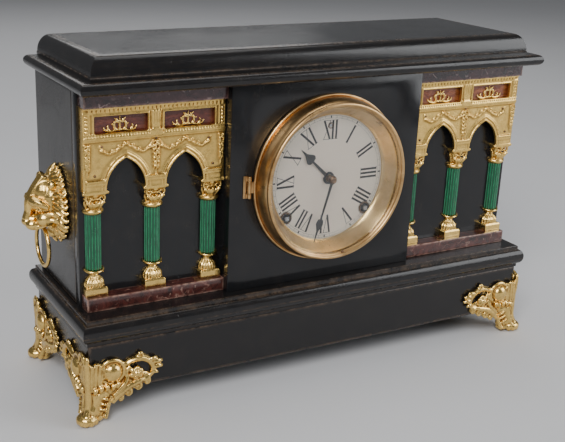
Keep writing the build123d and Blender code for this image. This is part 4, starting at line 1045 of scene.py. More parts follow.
def relief():
    parts = []
    for centre in arch_centres:
        parts.append(laid(arch_line(centre, 0.7), 1.05, face_y - 0.2))
        parts.append(laid(arch_line(centre, 3.3), 0.7, face_y - 0.1))
        parts.append(laid(arch_line(centre, 4.8), 0.4, face_y))
        for hand in (-1, 1):
            far = 21.0
            line = [(centre + hand * far, 210.6), (centre + hand * 17.6, 206.3),
                    (centre + hand * 13.4, 204.3),
                    (centre + hand * 8.4, 205.7), (centre + hand * 3.6, 208.8), (centre, 210.4)]
            parts.append(laid(line, 0.95, face_y - 0.2, 0.5))
            for n, (x, z) in enumerate(line[1:-1]):
                parts.append(lump((x, face_y - 0.8, z - 0.2), (1.15, 0.9, 0.9)))
                parts.append(lump((x + 1.8 * hand, face_y - 0.6, z + 0.5), (0.9, 0.8, 0.8)))
        parts.append(lump((centre, face_y - 0.7, 211.0), (1.6, 1.1, 1.2)))
    parts += leaf_drop(column_centres[1], 210.5, 188.5, 3.1)
    for x in (arcade_x1 - 3.0, arcade_x0 + 3.2):
        parts += leaf_drop(x, 211.0, 191.5, 2.2)
    for x in column_centres:
        low, high = max(x - 7.2, arcade_x0 - 0.4), min(x + 7.2, arcade_x1 + 0.4)
        for z, proud in ((184.4, 1.3), (182.0, 1.0)):
            parts.append(bar((low, face_y - proud, z - 0.65), (high, face_y + 1, z + 0.65)))
        parts.append(bar((low + 0.6, face_y - 0.5, 177.0), (high - 0.6, face_y + 1, 181.2)))
    return parts


# %% [markdown]
# A capital in the Corinthian manner has a bell hidden by leaves, two scrolls that turn out under
# the corners of its slab, and a round collar on the shaft. Scrolls are strokes that wind in.

# %% Capitals
def half_ring(x, z, radius, thick):
    points = [(x + radius * math.cos(a), wall_y + radius * math.sin(a), z) for a in
              [math.pi + math.pi * n / 10 for n in range(11)]]
    return stroke(points, [thick] * len(points))


def capital(x):
    top, bottom, ring = 174.2, 162.5, 160.5
    parts = [bar((x - 8.6, -44.6, top + 0.3), (x + 8.6, wall_y + 0.2, top + 2.4)),
             bar((x - 7.8, -44.0, top - 0.8), (x + 7.8, wall_y + 0.2, top + 0.8))]
    for hand in (-1, 1):
        parts.append(lump((x + hand * 9.2, -43.8, top + 1.3), (1.25, 1.25, 1.35)))
    for n in range(6):
        share = n / 5
        parts.append(lump((x, wall_y, bottom + 1 + 10 * share), (5.2 + 1.6 * share, 5.0 + 1.4 * share, 2.0)))
    for hand in (-1, 1):
        parts.append(curl((x + hand * 4.9, top - 3.1), 90, 1.25, 3.0, 0.5, 0.9, depth=-42.9, hand=-hand))
        parts.append(curl((x + hand * 1.7, top - 3.0), 90, 0.9, 1.7, 0.4, 0.65, depth=-43.1, hand=hand))
        parts.append(curl((wall_y - 4.4, top - 3.1), 90, 1.1, 2.6, 0.5, 0.85, plane="YZ",
                          depth=x + hand * 7.2, hand=hand))
        parts.append(stroke([(x + hand * 2.6, -41.6, bottom + 0.6), (x + hand * 4.3, -43.0, bottom + 3.6),
                             (x + hand * 6.4, -43.6, bottom + 5.6), (x + hand * 7.3, -43.2,
                                     bottom + 4.4)], [1.2, 1.3, 1.0, 0.5]))
        parts.append(stroke([(x + hand * 5.4, -38.2, bottom + 0.6), (x + hand * 7.0, -39.6, bottom + 4.0),
                             (x + hand * 8.0, -40.4, bottom + 6.6)], [1.2, 1.2, 0.6]))
        parts.append(stroke([(x + hand * 0.6, -42.4, bottom + 0.8), (x + hand * 2.2, -43.8, bottom + 4.2),
                             (x + hand * 3.2, -44.0, bottom + 6.4)], [0.9, 1.0, 0.5]))
    parts.append(stroke([(x, -41.8, bottom + 0.4), (x, -43.6, bottom + 3.6), (x, -44.3, bottom + 7.0)],
                        [1.0, 1.5, 0.7]))
    parts.append(lump((x, -43.5, top - 1.0), (1.5, 1.1, 1.3)))
    parts += [half_ring(x, ring, 6.7, 1.75), half_ring(x, bottom + 0.3, 5.6, 0.8),
              half_ring(x, ring - 1.9, 6.1, 0.7)]
    parts.append(lump((x, wall_y, ring), (6.9, 6.9, 1.9)))
    return parts


arcade = cast(arcade_sheet() + frame_work() + relief() + [p for x in column_centres for p in capital(x)],
              "arcade_right_gilt", voxel=0.48, rounds=2)
mark_hollows(arcade, 3)
arcade_left = mirrored(arcade, "arcade_left_gilt")
finish_piece(arcade, gilt, "case", "gilt_metal", "arcade_right")
finish_piece(arcade_left, gilt, "case", "gilt_metal", "arcade_left")
print("arcade", len(arcade.data.polygons), "faces")


# %% [markdown]
# The scrolls in the windows lie on the red inserts: a stem with leaves in the middle, and a
# curling branch on each side. They are thin, so they are cast finer, on their own.

# %% Window scrolls and nails
def window_scroll(x0, x1):
    centre, low, y = (x0 + x1) / 2, window_z[0] + 0.9, wall_y - 5.2
    parts = [stroke([(centre, y, low), (centre + 0.4, y - 0.3, low + 4), (centre, y, low + 10.5)],
                    [1.0, 0.9, 0.3])]
    for hand in (-1, 1):
        path = [(centre, y, low + 0.4), (centre + hand * 3.2, y, low + 1.0),
                (centre + hand * 4.6, y, low + 3.8),
                (centre + hand * 3.4, y, low + 6.6), (centre + hand * 1.7, y, low + 5.6)]
        parts.append(stroke(path, [0.8, 1.0, 1.1, 0.9, 0.4]))
        path = [(centre + hand * 2.5, y, low + 0.6), (centre + hand * 7.5, y, low - 0.2),
                (centre + hand * 11.5, y, low + 0.9),
                (centre + hand * 13.2, y, low + 3.2)]
        parts.append(stroke(path, [0.9, 0.95, 0.8, 0.3]))
        parts.append(stroke([(centre + hand * 8.0, y, low), (centre + hand * 9.6, y, low + 2.6),
                             (centre + hand * 9.2, y, low + 4.6)],
                            [0.8, 0.75, 0.25]))
        parts.append(stroke([(centre + hand * 1.0, y, low + 6.0), (centre + hand * 2.8, y, low + 8.4),
                             (centre + hand * 4.6, y, low + 9.2)],
                            [0.7, 0.8, 0.25]))
        parts.append(stroke([(centre + hand * 5.0, y, low + 4.2), (centre + hand * 6.8, y, low + 5.4)],
                            [0.8, 0.3]))
    return parts


scrolls = cast([p for span in windows for p in window_scroll(*span)], "window_scrolls_right", voxel=0.3,
               rounds=1)
mark_hollows(scrolls, 2)
scrolls_left = mirrored(scrolls, "window_scrolls_left")
nail_places = [(188.0, 209.8), (193.6, 188.4), (102.5, 209.3), (98.6, 188.8), (145.6, 213.0)]
nails = joined([lump((x, face_y - 0.3, z), (1.05, 0.7, 1.05)) for x, z in nail_places], "arcade_nails_right")
smooth(nails, 60)
nails_left = mirrored(nails, "arcade_nails_left")
for piece in (scrolls, scrolls_left):
    finish_piece(piece, gilt_bright, "case", "gilt_metal")
for piece in (nails, nails_left):
    finish_piece(piece, nut_metal, "case", "gilt_metal")
print("window scrolls", len(scrolls.data.polygons), "faces")


# %% [markdown]
# ## Columns and their bases
# The half columns are fluted. A cylinder with many sides gets its flutes by drawing in the
# vertices of each hollow, and is then bisected flush with the case front. The same pull, from 0 to
# 1, is kept as the hollow attribute, so the green is painted darker in the flutes as shade, and the
# ridges between them are marked as edge, where the finish paints a lighter green highlight.

# %% Fluted half columns
column_low, column_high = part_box("columns")
column_radius = 6.2
flutes, flute_depth, flute_share = 16, 0.75, 0.40


def fluted_column(x):
    bpy.ops.mesh.primitive_cylinder_add(vertices=flutes * 10, radius=column_radius * MM, depth=1.0,
                                        end_fill_type="NGON",
                                        location=(x * MM, front_y, (column_low.z + column_high.z) / 2))
    piece = bpy.context.object
    piece.scale = (1, 1, column_high.z - column_low.z)
    settle(piece)
    bpy.ops.object.mode_set(mode="EDIT")
    bpy.ops.mesh.select_all(action="SELECT")
    bpy.ops.mesh.bisect(plane_co=(0, front_y, 0), plane_no=(0, 1, 0), clear_outer=True, use_fill=True)
    bpy.ops.object.mode_set(mode="OBJECT")
    pulls = []
    for vertex in piece.data.vertices:
        across, out = vertex.co.x - x * MM, vertex.co.y - front_y
        turn = (math.atan2(out, across) / (2 * math.pi) * flutes) % 1.0
        gap = abs(turn - 0.5) / flute_share
        pull = math.sqrt(max(0.0, 1 - gap ** 2)) if out < -0.0004 else 0.0
        scale = 1 - pull * flute_depth / column_radius
        vertex.co.x, vertex.co.y = x * MM + across * scale, front_y + out * scale
        pulls.append(pull)
    # The hollow values give the flutes their painted shade; the edge values give the ridges a painted highlight.
    for label, values in (("hollow", [p ** 1.5 for p in pulls]),
                          ("edge", [1.0 if p < 0.2 else 0.0 for p in pulls])):
        attribute = piece.data.attributes.new(label, "FLOAT", "POINT")
        attribute.data.foreach_set("value", values)
    return smooth(piece, 40)


columns = []
for side, label in ((1, "right"), (-1, "left")):
    for n, x in enumerate(column_centres):
        piece = fluted_column(side * x)
        piece.name = f"column_{label}_{n + 1}"
        columns.append(finish_piece(piece, column_green, "case", "green_lacquer", "columns"))
print("columns", len(columns))


# %% [markdown]
# A column base has a square block, a bell with a ring of lobes called gadroons, a narrow neck and
# an upturned collar. One is cast and the other five are copies with their own mesh.

# %% Column bases
def column_base(x):
    bottom, top = sill_high.z / MM, column_low.z / MM
    block_top = bottom + 6.6
    parts = [bar((x - 8.7, wall_y - 7.9, bottom), (x + 8.7, wall_y + 0.1, block_top - 1.0)),
             bar((x - 8.0, wall_y - 7.3, block_top - 1.2), (x + 8.0, wall_y + 0.1, block_top))]
    for n in range(5):
        share = n / 4
        parts.append(lump((x, wall_y, block_top + 0.6 + 7.2 * share),
                          (6.9 - 3.2 * share, 6.5 - 3.2 * share, 1.8)))
    for n in range(9):
        a = math.pi + math.pi * (n + 0.5) / 9
        foot = (x + 7.3 * math.cos(a), wall_y + 6.8 * math.sin(a), block_top + 0.7)
        belly = (x + 6.9 * math.cos(a), wall_y + 6.5 * math.sin(a), block_top + 3.2)
        tip = (x + 4.0 * math.cos(a), wall_y + 3.9 * math.sin(a), block_top + 7.4)
        parts.append(stroke([foot, belly, tip], [1.05, 1.25, 0.6]))
    parts.append(lump((x, wall_y, top - 5.2), (4.2, 4.2, 2.4)))
    parts.append(lump((x, wall_y, top - 2.4), (6.4, 6.4, 1.8)))
    ring = [(x + 7.2 * math.cos(a), wall_y + 7.2 * math.sin(a), top - 1.2 + 0.9 * abs(math.cos(a)) ** 6)
            for a in [math.pi + math.pi * n / 12 for n in range(13)]]
    parts.append(stroke(ring, [1.1] * len(ring)))
    return parts


first_base = cast(column_base(column_centres[0]), "column_base_right_1", voxel=0.36, rounds=2)
mark_hollows(first_base, 3)
bases = [first_base]
for side, label in ((1, "right"), (-1, "left")):
    for n, x in enumerate(column_centres):
        if side * x != column_centres[0]:
            bases.append(copied(first_base, f"column_base_{label}_{n + 1}",
                                ((side * x - column_centres[0]) * MM, 0, 0)))
for piece in bases:
    finish_piece(piece, gilt_bright, "case", "gilt_metal", "column_bases")
print("bases", len(bases), len(first_base.data.polygons), "faces each")


# %% [markdown]
# ## The bezel
# A bezel is a thin brass ring spun on a lathe, so it is made the same way: its profile is drawn
# once as a line of points and spun round the dial's centre. A bead runs round its rim, a cove
# rises to the crest, and a sloping gilt ring goes down from the glass to the dial.

# %% Spinning a profile
dial_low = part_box("dial_plate")[0]
dial_z = 169.5
plate_y = dial_low.y / MM
flat_y = panel_low.y / MM


def spun(name, profile, steps=160, angle=40):
    """Profile of (radius, depth) points spun round the dial's axis; a closed profile gives a solid ring."""
    bpy.ops.mesh.primitive_plane_add(size=1)
    piece = bpy.context.object
    piece.name = name
    bpy.ops.object.mode_set(mode="EDIT")
    bpy.ops.mesh.select_all(action="SELECT")
    bpy.ops.mesh.delete(type="VERT")
    bpy.ops.object.mode_set(mode="OBJECT")
    count = len(profile)
    piece.data.from_pydata([(0, y * MM, (dial_z + r) * MM) for r, y in profile],
                           [(n, (n + 1) % count) for n in range(count)], [])
    bpy.ops.object.mode_set(mode="EDIT")
    bpy.ops.mesh.select_all(action="SELECT")
    bpy.ops.mesh.spin(steps=steps, angle=2 * math.pi, center=(0, 0, dial_z * MM), axis=(0, 1, 0))
    bpy.ops.object.mode_set(mode="OBJECT")
    recalculate(piece, 0.000002)
    return smooth(piece, angle)


def arc(centre, radius, start, stop, steps=6):
    """Points of an arc in the profile's plane, angles in degrees."""
    angles = [math.radians(start + (stop - start) * n / steps) for n in range(steps + 1)]
    return [(centre[0] + radius * math.cos(a), centre[1] + radius * math.sin(a)) for a in angles]


# %% Bezel ring with its hinge lug
back = flat_y - 0.3
crest = flat_y - 18.3
bezel_profile = [(60.5, back - 0.2), (60.5, back), (68.7, back), (69.0, back - 0.4), (69.0, back - 1.3)]
bezel_profile += arc((67.9, back - 2.1), 1.1, 0, -150, 7)
bezel_profile += [(66.8, back - 2.6), (66.9, back - 3.4), (66.9, back - 5.0), (66.6, back - 7.6),
                  (66.1, back - 10.4), (65.4, back - 12.8),
                  (64.7, back - 14.4), (64.3, back - 15.0)]
bezel_profile += [(64.5, back - 15.6)] + arc((62.9, crest + 1.55), 1.55, -5, -175, 9)
bezel_profile += [(61.5, crest + 2.2), (60.9, crest + 2.5), (60.5, crest + 3.0)]
bezel = spun("bezel_ring_brass", bezel_profile)
hinge_x, hinge_y = -72.2, -55.6
knuckle = [bar((hinge_x + 0.3, hinge_y - 1.1, dial_z - 4.6), (-65.0, hinge_y + 0.1, dial_z + 4.6))]
bpy.ops.mesh.primitive_cylinder_add(vertices=40, radius=1.7 * MM, depth=9.4 * MM,
                                    location=(hinge_x * MM, hinge_y * MM, dial_z * MM))
knuckle.append(bpy.context.object)
for part in knuckle:
    settle(part)
    apply_modifier(part, "BEVEL", width=0.25 * MM, segments=2, limit_method="ANGLE")
bezel_lug = smooth(joined(knuckle, "bezel_hinge_lug"), 35)
finish_piece(bezel, bezel_metal, "bezel", "bezel_brass", "bezel_ring")
finish_piece(bezel_lug, bezel_metal, "bezel", "bezel_brass", "bezel_ring")

glass_back = flat_y - 14.2
reflector_profile = [(60.3, glass_back + 1.8), (59.5, glass_back + 1.5), (58.9, glass_back + 2.4),
                     (57.6, glass_back + 4.6), (56.2, flat_y - 7.2),
                     (54.6, flat_y - 4.4), (53.4, flat_y - 2.4), (52.8, flat_y - 1.9)]
reflector_profile += arc((52.35, flat_y - 1.7), 0.5, -90, -250, 5)
reflector_profile += [(52.0, plate_y - 0.25), (52.9, plate_y - 0.25), (54.2, flat_y - 2.2),
                      (56.9, flat_y - 7.0), (60.3, glass_back + 3.2)]
reflector = spun("reflector_gilt_ring", reflector_profile)
finish_piece(reflector, reflector_metal, "bezel", "bezel_brass", "reflector_ring")

bezel_screw = lump((9.0, crest + 2.4, dial_z - 60.2), (1.4, 1.0, 1.4))
bezel_screw = smooth(joined([bezel_screw, bar((8.0, crest + 1.2, dial_z - 60.4),
                                              (10.0, crest + 2.2, dial_z - 60.0))], "bezel_glass_screw"), 50)
finish_piece(bezel_screw, nut_metal, "bezel", "bezel_brass")
print("bezel", len(bezel.data.polygons), "faces")


# %% [markdown]
# ## The dial
# The plate keeps its node's mesh. The print lies on it as thin plates: Roman numerals that point to
# the middle, a minute track and five-minute dots. Printed numerals have thick and thin strokes with
# hairline serifs, so each letter is made from its strokes rather than from a typeface.

# %% Numerals
def flat_bar(x0, z0, x1, z1, width):
    """A printed stroke between two points, in the dial's plane, before it is turned to its hour."""
    length = math.hypot(x1 - x0, z1 - z0)
    bpy.ops.mesh.primitive_plane_add(size=1, location=((x0 + x1) / 2, (z0 + z1) / 2, 0),
                                     rotation=(0, 0, math.atan2(z1 - z0, x1 - x0)))
    piece = bpy.context.object
    piece.scale = (length, width, 1)
    return piece


numeral_low, numeral_high, thick_stroke, thin_stroke = 31.8, 47.2, 1.75, 0.42
letter_widths = {"I": 3.3, "V": 7.4, "X": 7.6}


def letter(kind, left):
    low, high = numeral_low, numeral_high
    width = letter_widths[kind]
    a, b = left + 0.9, left + width - 0.9
    middle = left + width / 2
    if kind == "I":
        parts = [flat_bar(middle, low, middle, high, thick_stroke)]
    elif kind == "V":
        parts = [flat_bar(a, high, middle, low, thick_stroke), flat_bar(b, high, middle, low, thin_stroke)]
    else:
        parts = [flat_bar(a, high, b, low, thick_stroke), flat_bar(a, low, b, high, thin_stroke)]
    for z in (low, high):
        if kind != "V" or z == high:
            parts.append(flat_bar(left + 0.25, z, left + width - 0.25, z, 0.36))
    return parts


def numeral(text, hour):
    total = sum(letter_widths[kind] for kind in text)
    left, parts = -total / 2, []
    for kind in text:
        parts += letter(kind, left)
        left += letter_widths[kind]
    piece = joined(parts, f"numeral_{hour}")
    turn = Matrix.Rotation(-math.radians(30 * hour), 4, "Z")
    piece.data.transform(turn)
    return piece


def printed(piece, lift=0.05):
    """Stands flat print up on the dial and gives it the thickness of its ink."""
    piece.data.transform(Matrix.Translation((0, (plate_y - lift) * MM,
                                             dial_z * MM)) @ Matrix.Rotation(math.pi / 2, 4, "X")
                         @ Matrix.Scale(MM, 4))
    recalculate(piece, 0.0000001)
    apply_modifier(piece, "SOLIDIFY", thickness=0.04 * MM, offset=0.0)
    return piece


texts = ["I", "II", "III", "IIII", "V", "VI", "VII", "VIII", "IX", "X", "XI", "XII"]
numerals = printed(joined([numeral(text, n + 1) for n, text in enumerate(texts)], "dial_numerals"))
finish_piece(numerals, print_black, "case", "dial_enamel")


# %% Minute track
def circle_line(radius, width, sides=180):
    bpy.ops.mesh.primitive_circle_add(vertices=sides, radius=radius - width / 2, fill_type="NOTHING")
    piece = bpy.context.object
    bpy.ops.object.mode_set(mode="EDIT")
    bpy.ops.mesh.select_all(action="SELECT")
    bpy.ops.mesh.extrude_edges_move()
    bpy.ops.transform.resize(value=((radius + width / 2) / (radius - width / 2),) * 3)
    bpy.ops.object.mode_set(mode="OBJECT")
    return piece


track = [circle_line(50.9, 0.16), circle_line(48.9, 0.14)]
for minute in range(60):
    angle = math.radians(6 * minute)
    s, c = math.sin(angle), math.cos(angle)
    wide, low, high = (1.15, 49.0, 51.1) if minute % 5 == 0 else (0.16, 49.0, 50.8)
    track.append(flat_bar(low * s, low * c, high * s, high * c, wide))
winding_x, winding_z, regulator_z = 37.7, -29.9, 43.0
for x, z, radius in ((-winding_x, winding_z, 5.6), (winding_x, winding_z, 5.6), (0, regulator_z, 2.6)):
    ring = circle_line(radius, 0.25, 48)
    ring.location = (x, z, 0)
    track.append(ring)
minute_track = printed(joined(track, "dial_minute_track"), 0.06)
finish_piece(minute_track, print_black, "case", "dial_enamel")

grommet_profile = [(3.9, plate_y + 0.3), (3.9, plate_y - 0.55), (4.2, plate_y - 0.95), (4.9, plate_y - 0.8),
                   (5.2, plate_y - 0.05), (5.2, plate_y + 0.05)]
for x, z, label in ((winding_x, winding_z, "right"), (-winding_x, winding_z, "left"), (0, regulator_z, "regulator")):
    size = 1.0 if label != "regulator" else 0.45
    grommet = spun("grommet_" + label, [(r * size, y) for r, y in grommet_profile], 48)
    grommet.data.transform(Matrix.Translation((x * MM, 0, z * MM)))
    finish_piece(grommet, nut_metal, "case", "dial_enamel")
print("dial print done")


# %% [markdown]
# ## Hands
# Spade hands are cut from thin blued or blackened steel. An outline is drawn by moving the corners
# of a filled circle, then it gets its thickness and a small bevel so that its edge catches light.

# %% Spade hands
def cut_out(name, outline, front, thick, angle):
    """A thin plate with an outline of (across, along) points, pointing clockwise from twelve."""
    bpy.ops.mesh.primitive_circle_add(vertices=len(outline), radius=1, fill_type="NGON")
    piece = bpy.context.object
    piece.name = name
    for vertex, (x, z) in zip(piece.data.vertices, outline):
        vertex.co = (x, z, 0)
    piece.data.transform(Matrix.Translation((0, front * MM,
                                             dial_z * MM)) @ Matrix.Rotation(math.radians(angle), 4, "Y")
                         @ Matrix.Rotation(math.pi / 2, 4, "X") @ Matrix.Scale(MM, 4))
    recalculate(piece, 0.0000001)
    apply_modifier(piece, "SOLIDIFY", thickness=thick * MM, offset=0.0)
    apply_modifier(piece, "BEVEL", width=0.12 * MM, segments=2, limit_method="ANGLE",
                   angle_limit=math.radians(50))
    return recalculate(piece, 0.0000001)


def spade(length, shaft, leaf_start, leaf_wide, leaf_at):
    """Right and left edge of a spade hand, from its tail up to its tip."""
    right = [(shaft * 0.9, 4.2), (shaft * 0.55, leaf_start - 1.5), (shaft * 0.55, leaf_start)]
    right += [(leaf_wide * 0.72, leaf_start + 0.4), (leaf_wide, leaf_at - 0.6),
              (leaf_wide * 0.98, leaf_at + 0.8),
              (leaf_wide * 0.62, leaf_at + 3.4), (leaf_wide * 0.26, leaf_at + 6.2), (0.34, length - 1.5)]
    return right + [(0.0, length)] + [(-x, z) for x, z in reversed(right)]


def hub(radius, steps=20):
    """The round eye's lower edge, from the left shaft round to the right."""
    return [(radius * math.cos(math.radians(a)), radius * math.sin(math.radians(a)))
            for a in [125 + (290) * n / steps for n in range(steps + 1)]]


hour_angle, minute_angle = 313.7, 196.0
hand_sheet = 0.7
hour_box, minute_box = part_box("hour_hand"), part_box("minute_hand")
hour_y = hour_box[0].y / MM + 0.4
minute_y = minute_box[0].y / MM + 0.4
hour_outline = spade(37.8, 1.6, 21.4, 4.6, 24.2) + hub(5.2)
minute_outline = spade(53.3, 1.3, 33.4, 3.2, 37.4) + hub(3.6)
hour_piece = cut_out("hour_hand_spade", hour_outline, hour_y, hand_sheet, hour_angle)
minute_piece = cut_out("minute_hand_spade", minute_outline, minute_y, hand_sheet, minute_angle)
finish_piece(hour_piece, hand_black, "hour_train", "black_hands", "hour_hand")
finish_piece(minute_piece, hand_black, "minute_train", "black_hands", "minute_hand")
collet_profile = [(1.6, minute_y + 0.3), (3.4, minute_y + 0.3), (3.4, minute_y + 0.9), (2.9, minute_y + 1.3),
                  (2.9, minute_box[1].y / MM), (1.6, minute_box[1].y / MM)]
collet = spun("minute_hand_collet", collet_profile, 40)
finish_piece(collet, nut_metal, "minute_train", "black_hands", "minute_hand")
nut_low, nut_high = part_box("hand_nut")
nut_profile = [(0.05, nut_high.y / MM), (3.3, nut_high.y / MM), (3.3, nut_high.y / MM - 0.5),
               (2.7, nut_low.y / MM + 0.5),
               (2.2, nut_low.y / MM + 0.1), (1.5, nut_low.y / MM), (1.2, nut_low.y / MM + 0.3), (0.05,
                       nut_low.y / MM + 0.3)]
nut = spun("hand_nut_bronze", nut_profile, 48)
finish_piece(nut, nut_metal, "minute_train", "bronzed_nut", "hand_nut")
print("hands", hour_y, minute_y)


# %% [markdown]
# ## Hinge and catch
# The bezel turns on a small two-knuckle hinge at nine o'clock and is held by a spring tab.

# %% Fixed leaf and catch
leaf_low, leaf_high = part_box("bezel_hinge")
leaf = bar((-77.0, flat_y - 0.8, leaf_low.z / MM), (-74.0, flat_y, leaf_high.z / MM))
knuckles = [leaf]
for z in (dial_z - 6.9, dial_z + 6.9):
    bpy.ops.mesh.primitive_cylinder_add(vertices=32, radius=1.7 * MM, depth=4.0 * MM,
                                        location=(hinge_x * MM, hinge_y * MM, z * MM))
    knuckles.append(bpy.context.object)
    knuckles.append(bar((-75.0, hinge_y + 0.4, z - 2.0), (hinge_x, flat_y, z + 2.0)))
for part in knuckles:
    settle(part)
    apply_modifier(part, "BEVEL", width=0.25 * MM, segments=2, limit_method="ANGLE")
hinge = smooth(joined(knuckles, "bezel_hinge_leaf"), 35)
finish_piece(hinge, bezel_metal, "case", "bezel_brass", "bezel_hinge")

catch_low, catch_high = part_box("bezel_catch")
catch = board_at("bezel_catch_tab", catch_low, catch_high, 0.4, 1.0)
finish_piece(catch, bezel_metal, "bezel", "bezel_brass", "bezel_catch")
print("hinge and catch done")


# %% [markdown]
# ## Lion masks and rings
# A lion mask holds the ring of each carrying handle in its jaw. It is sculpted like a clay model:
# big masses first, then brows, muzzle and cheeks, then locks of the mane as tapered strokes that
# sweep back from the face. Everything is cast in one skin, and the ring's room is bored out.

# %% Mask helpers, in millimetres out of the wall, along the wall and up
mask_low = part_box("lion_mask_right")[0]
wall_x = mask_low.x / MM
mask_y, mask_z = 8.2, 155.0


def on_mask(out, along, up):
    return (wall_x + out, mask_y + along, mask_z + up)


def mass(out, along, up, size, turn=(0, 0, 0)):
    return lump(on_mask(out, along, up), size, turn)


def lock(points, radii):
    return stroke([on_mask(*p) for p in points], radii)


# %% Face
def lion_face():
    parts = [mass(1.0, 0, 1, (6.5, 22.0, 28.0)), mass(6.5, 0, 3, (13.0, 15.5, 19.5)),
             mass(11, 0, 9, (11.0, 11.5, 13.0)),
             mass(14, 0, 2, (10.5, 10.5, 9.0)), mass(20.0, 0, -11.8, (8.2, 7.0, 6.0)), mass(26.8, 0, -12.2,
                     (3.6, 4.7, 3.2))]
    parts.append(lock([(10.5, 0, 21), (18.0, 0, 11.5), (22.6, 0, 4.5), (24.2, 0, -4), (26.0, 0, -10.5)],
                      [6.5, 6.0, 4.9, 3.9, 4.2]))
    for side in (-1, 1):
        parts.append(lock([(21.4, side * 2.2, 5.4), (22.0, side * 6.0, 5.2), (18.6, side * 10.8, 3.8),
                           (13.0, side * 14.4, 0.6)],
                          [3.6, 4.2, 3.6, 2.0]))
        parts.append(mass(17.0, side * 7.4, -2.0, (2.9, 2.9, 2.2)))
        parts.append(mass(13.0, side * 10.2, -9.0, (8.6, 5.4, 6.0)))
        parts.append(mass(21.8, side * 4.4, -14.0, (6.8, 4.9, 4.6)))
        parts.append(lock([(22.5, side * 6.6, -7.4), (17.5, side * 10.8, -5.4), (11.0, side * 15.0, -4.2),
                           (5.0, side * 19.0, -7.0)],
                          [1.1, 1.8, 1.9, 1.2]))
        parts.append(lock([(20.5, side * 8.6, -11.0), (15.5, side * 12.2, -9.4), (9.5, side * 15.8, -9.4),
                           (4.0, side * 18.8, -13.0)],
                          [1.1, 1.7, 1.8, 1.1]))
        parts.append(lock([(26.0, side * 2.6, -16.2), (21.0, side * 7.4, -15.8), (15.5, side * 10.8, -14.6),
                           (10.0, side * 13.6, -15.0)],
                          [1.4, 1.8, 1.8, 1.3]))
        parts.append(lock([(6.0, side * 11.5, 16.0), (10.2, side * 14.4, 18.6), (8.2, side * 16.6, 19.6)],
                          [3.4, 3.6, 1.8]))
    parts += [mass(6.0, 0, -23.0, (4.6, 7.5, 4.6)), mass(5.0, 0, -17.0, (5.2, 10.5, 7.0))]
    return parts


# %% Mane
def mane_place(share, out, angle):
    """A place on the egg-shaped mane, narrow at the top and broad at the cheeks."""
    return (out, 26.0 * share * math.cos(angle) * (1 - 0.22 * math.sin(angle)),
            1 + 30.5 * share * math.sin(angle))


def lion_mane():
    rng = random.Random(7)
    parts = []
    for count, start, reach, proud, gap in ((34, 0.64, 0.97, 6.6, 0.0), (28, 0.46, 0.84, 9.8, 0.5),
                                            (17, 0.30, 0.66, 13.2, 0.0)):
        for n in range(count):
            angle = 2 * math.pi * (n + gap) / count
            if math.sin(angle) < -0.35 and proud > 7:
                continue
            sway = (0.10 if math.cos(angle) > 0 else -0.10) + rng.uniform(-0.03, 0.03)
            parts.append(lock([mane_place(start, proud, angle),
                               mane_place((start + reach) * 0.5, proud * 0.80, angle - sway),
                               mane_place(reach * 0.95, proud * 0.40, angle - sway * 1.6), mane_place(reach,
                                       0.8, angle - sway)],
                              [1.3, 2.0, 1.7, 1.0]))
    for side in (-1, 1):
        parts.append(curl((mask_y + side * 11.5, mask_z - 24.5), 90, 1.1, 4.0, 0.9, 1.7, plane="YZ",
                          depth=wall_x + 3.2, hand=side))
        parts.append(curl((mask_y + side * 18.0, mask_z - 17.5), 60, 1.0, 3.6, 0.9, 1.5, plane="YZ",
                          depth=wall_x + 3.2, hand=side))
    parts.append(lock([(4.6, 0, -24), (4.0, 1.5, -28), (2.6, -0.6, -31.6)], [2.8, 2.4, 1.0]))
    return parts


mask = cast(lion_face() + lion_mane(), "lion_mask_right_gilt", voxel=0.42, rounds=3)
ring_x, ring_z = 218.3, 137.5
mask = boolean(mask, tube_y(ring_x, ring_z, 3.4, mask_y - 30, mask_y + 30, 48), "DIFFERENCE")
mask = boolean(mask, bar((wall_x - 30, mask_y - 60, mask_z - 60), (wall_x + 0.02, mask_y + 60, mask_z + 60)),
               "DIFFERENCE")
recalculate(mask, 0.000002)
pick(mask)
bpy.ops.object.shade_smooth()
mark_hollows(mask, 4, 0.7)
mask_left = mirrored(mask, "lion_mask_left_gilt")
finish_piece(mask, gilt_bright, "case", "gilt_metal", "lion_mask_right")
finish_piece(mask_left, gilt_bright, "case", "gilt_metal", "lion_mask_left")
print("mask", len(mask.data.polygons), "faces", [round(v, 4)
                                                 for v in (max(v.co.x for v in mask.data.vertices),)])


# %% Rings
ring_low, ring_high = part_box("ring_right")
ring_wire = (ring_high.x - ring_low.x) / 2
ring_major = (ring_high.z - ring_low.z) / 2 - ring_wire
bpy.ops.mesh.primitive_torus_add(major_radius=ring_major, minor_radius=ring_wire, major_segments=96,
                                 minor_segments=20,
                                 location=(ring_low + ring_high) / 2, rotation=(0, math.pi / 2, 0))
ring_right = settle(bpy.context.object)
ring_right.name = "mask_ring_right"
smooth(ring_right, 60)
ring_left = mirrored(ring_right, "mask_ring_left")
finish_piece(ring_right, gilt_bright, "ring_right", "gilt_metal", "ring_right")
finish_piece(ring_left, gilt_bright, "ring_left", "gilt_metal", "ring_left")
print("rings done")


# %% [markdown]
# ## Scroll feet
# Each foot wraps a corner of the plinth with two leafy wings. Both wings are the same casting
# turned round the corner, so every stroke is given along the wing, outwards from the wood and up,
# and a small helper puts it on the front or on the side. Both wings, leg and toe are cast together.

# %% Foot helpers
plinth_low, plinth_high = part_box("plinth_boards")
corner_x, corner_y = plinth_high.x / MM, plinth_low.y / MM


def on_wing(face, along, out, up):
    """A place on the right front foot: face 0 is the front wing, face 1 the side wing."""
    if face == 0:
        return (corner_x - along, corner_y - out, up)
    return (corner_x + out, corner_y + along, up)


def vine(face, points, radii):
    return stroke([on_wing(face, *p) for p in points], radii)


def knob(face, along, out, up, size):
    wide, proud, tall = size
    return lump(on_wing(face, along, out, up), (wide, proud, tall) if face == 0 else (proud, wide, tall))


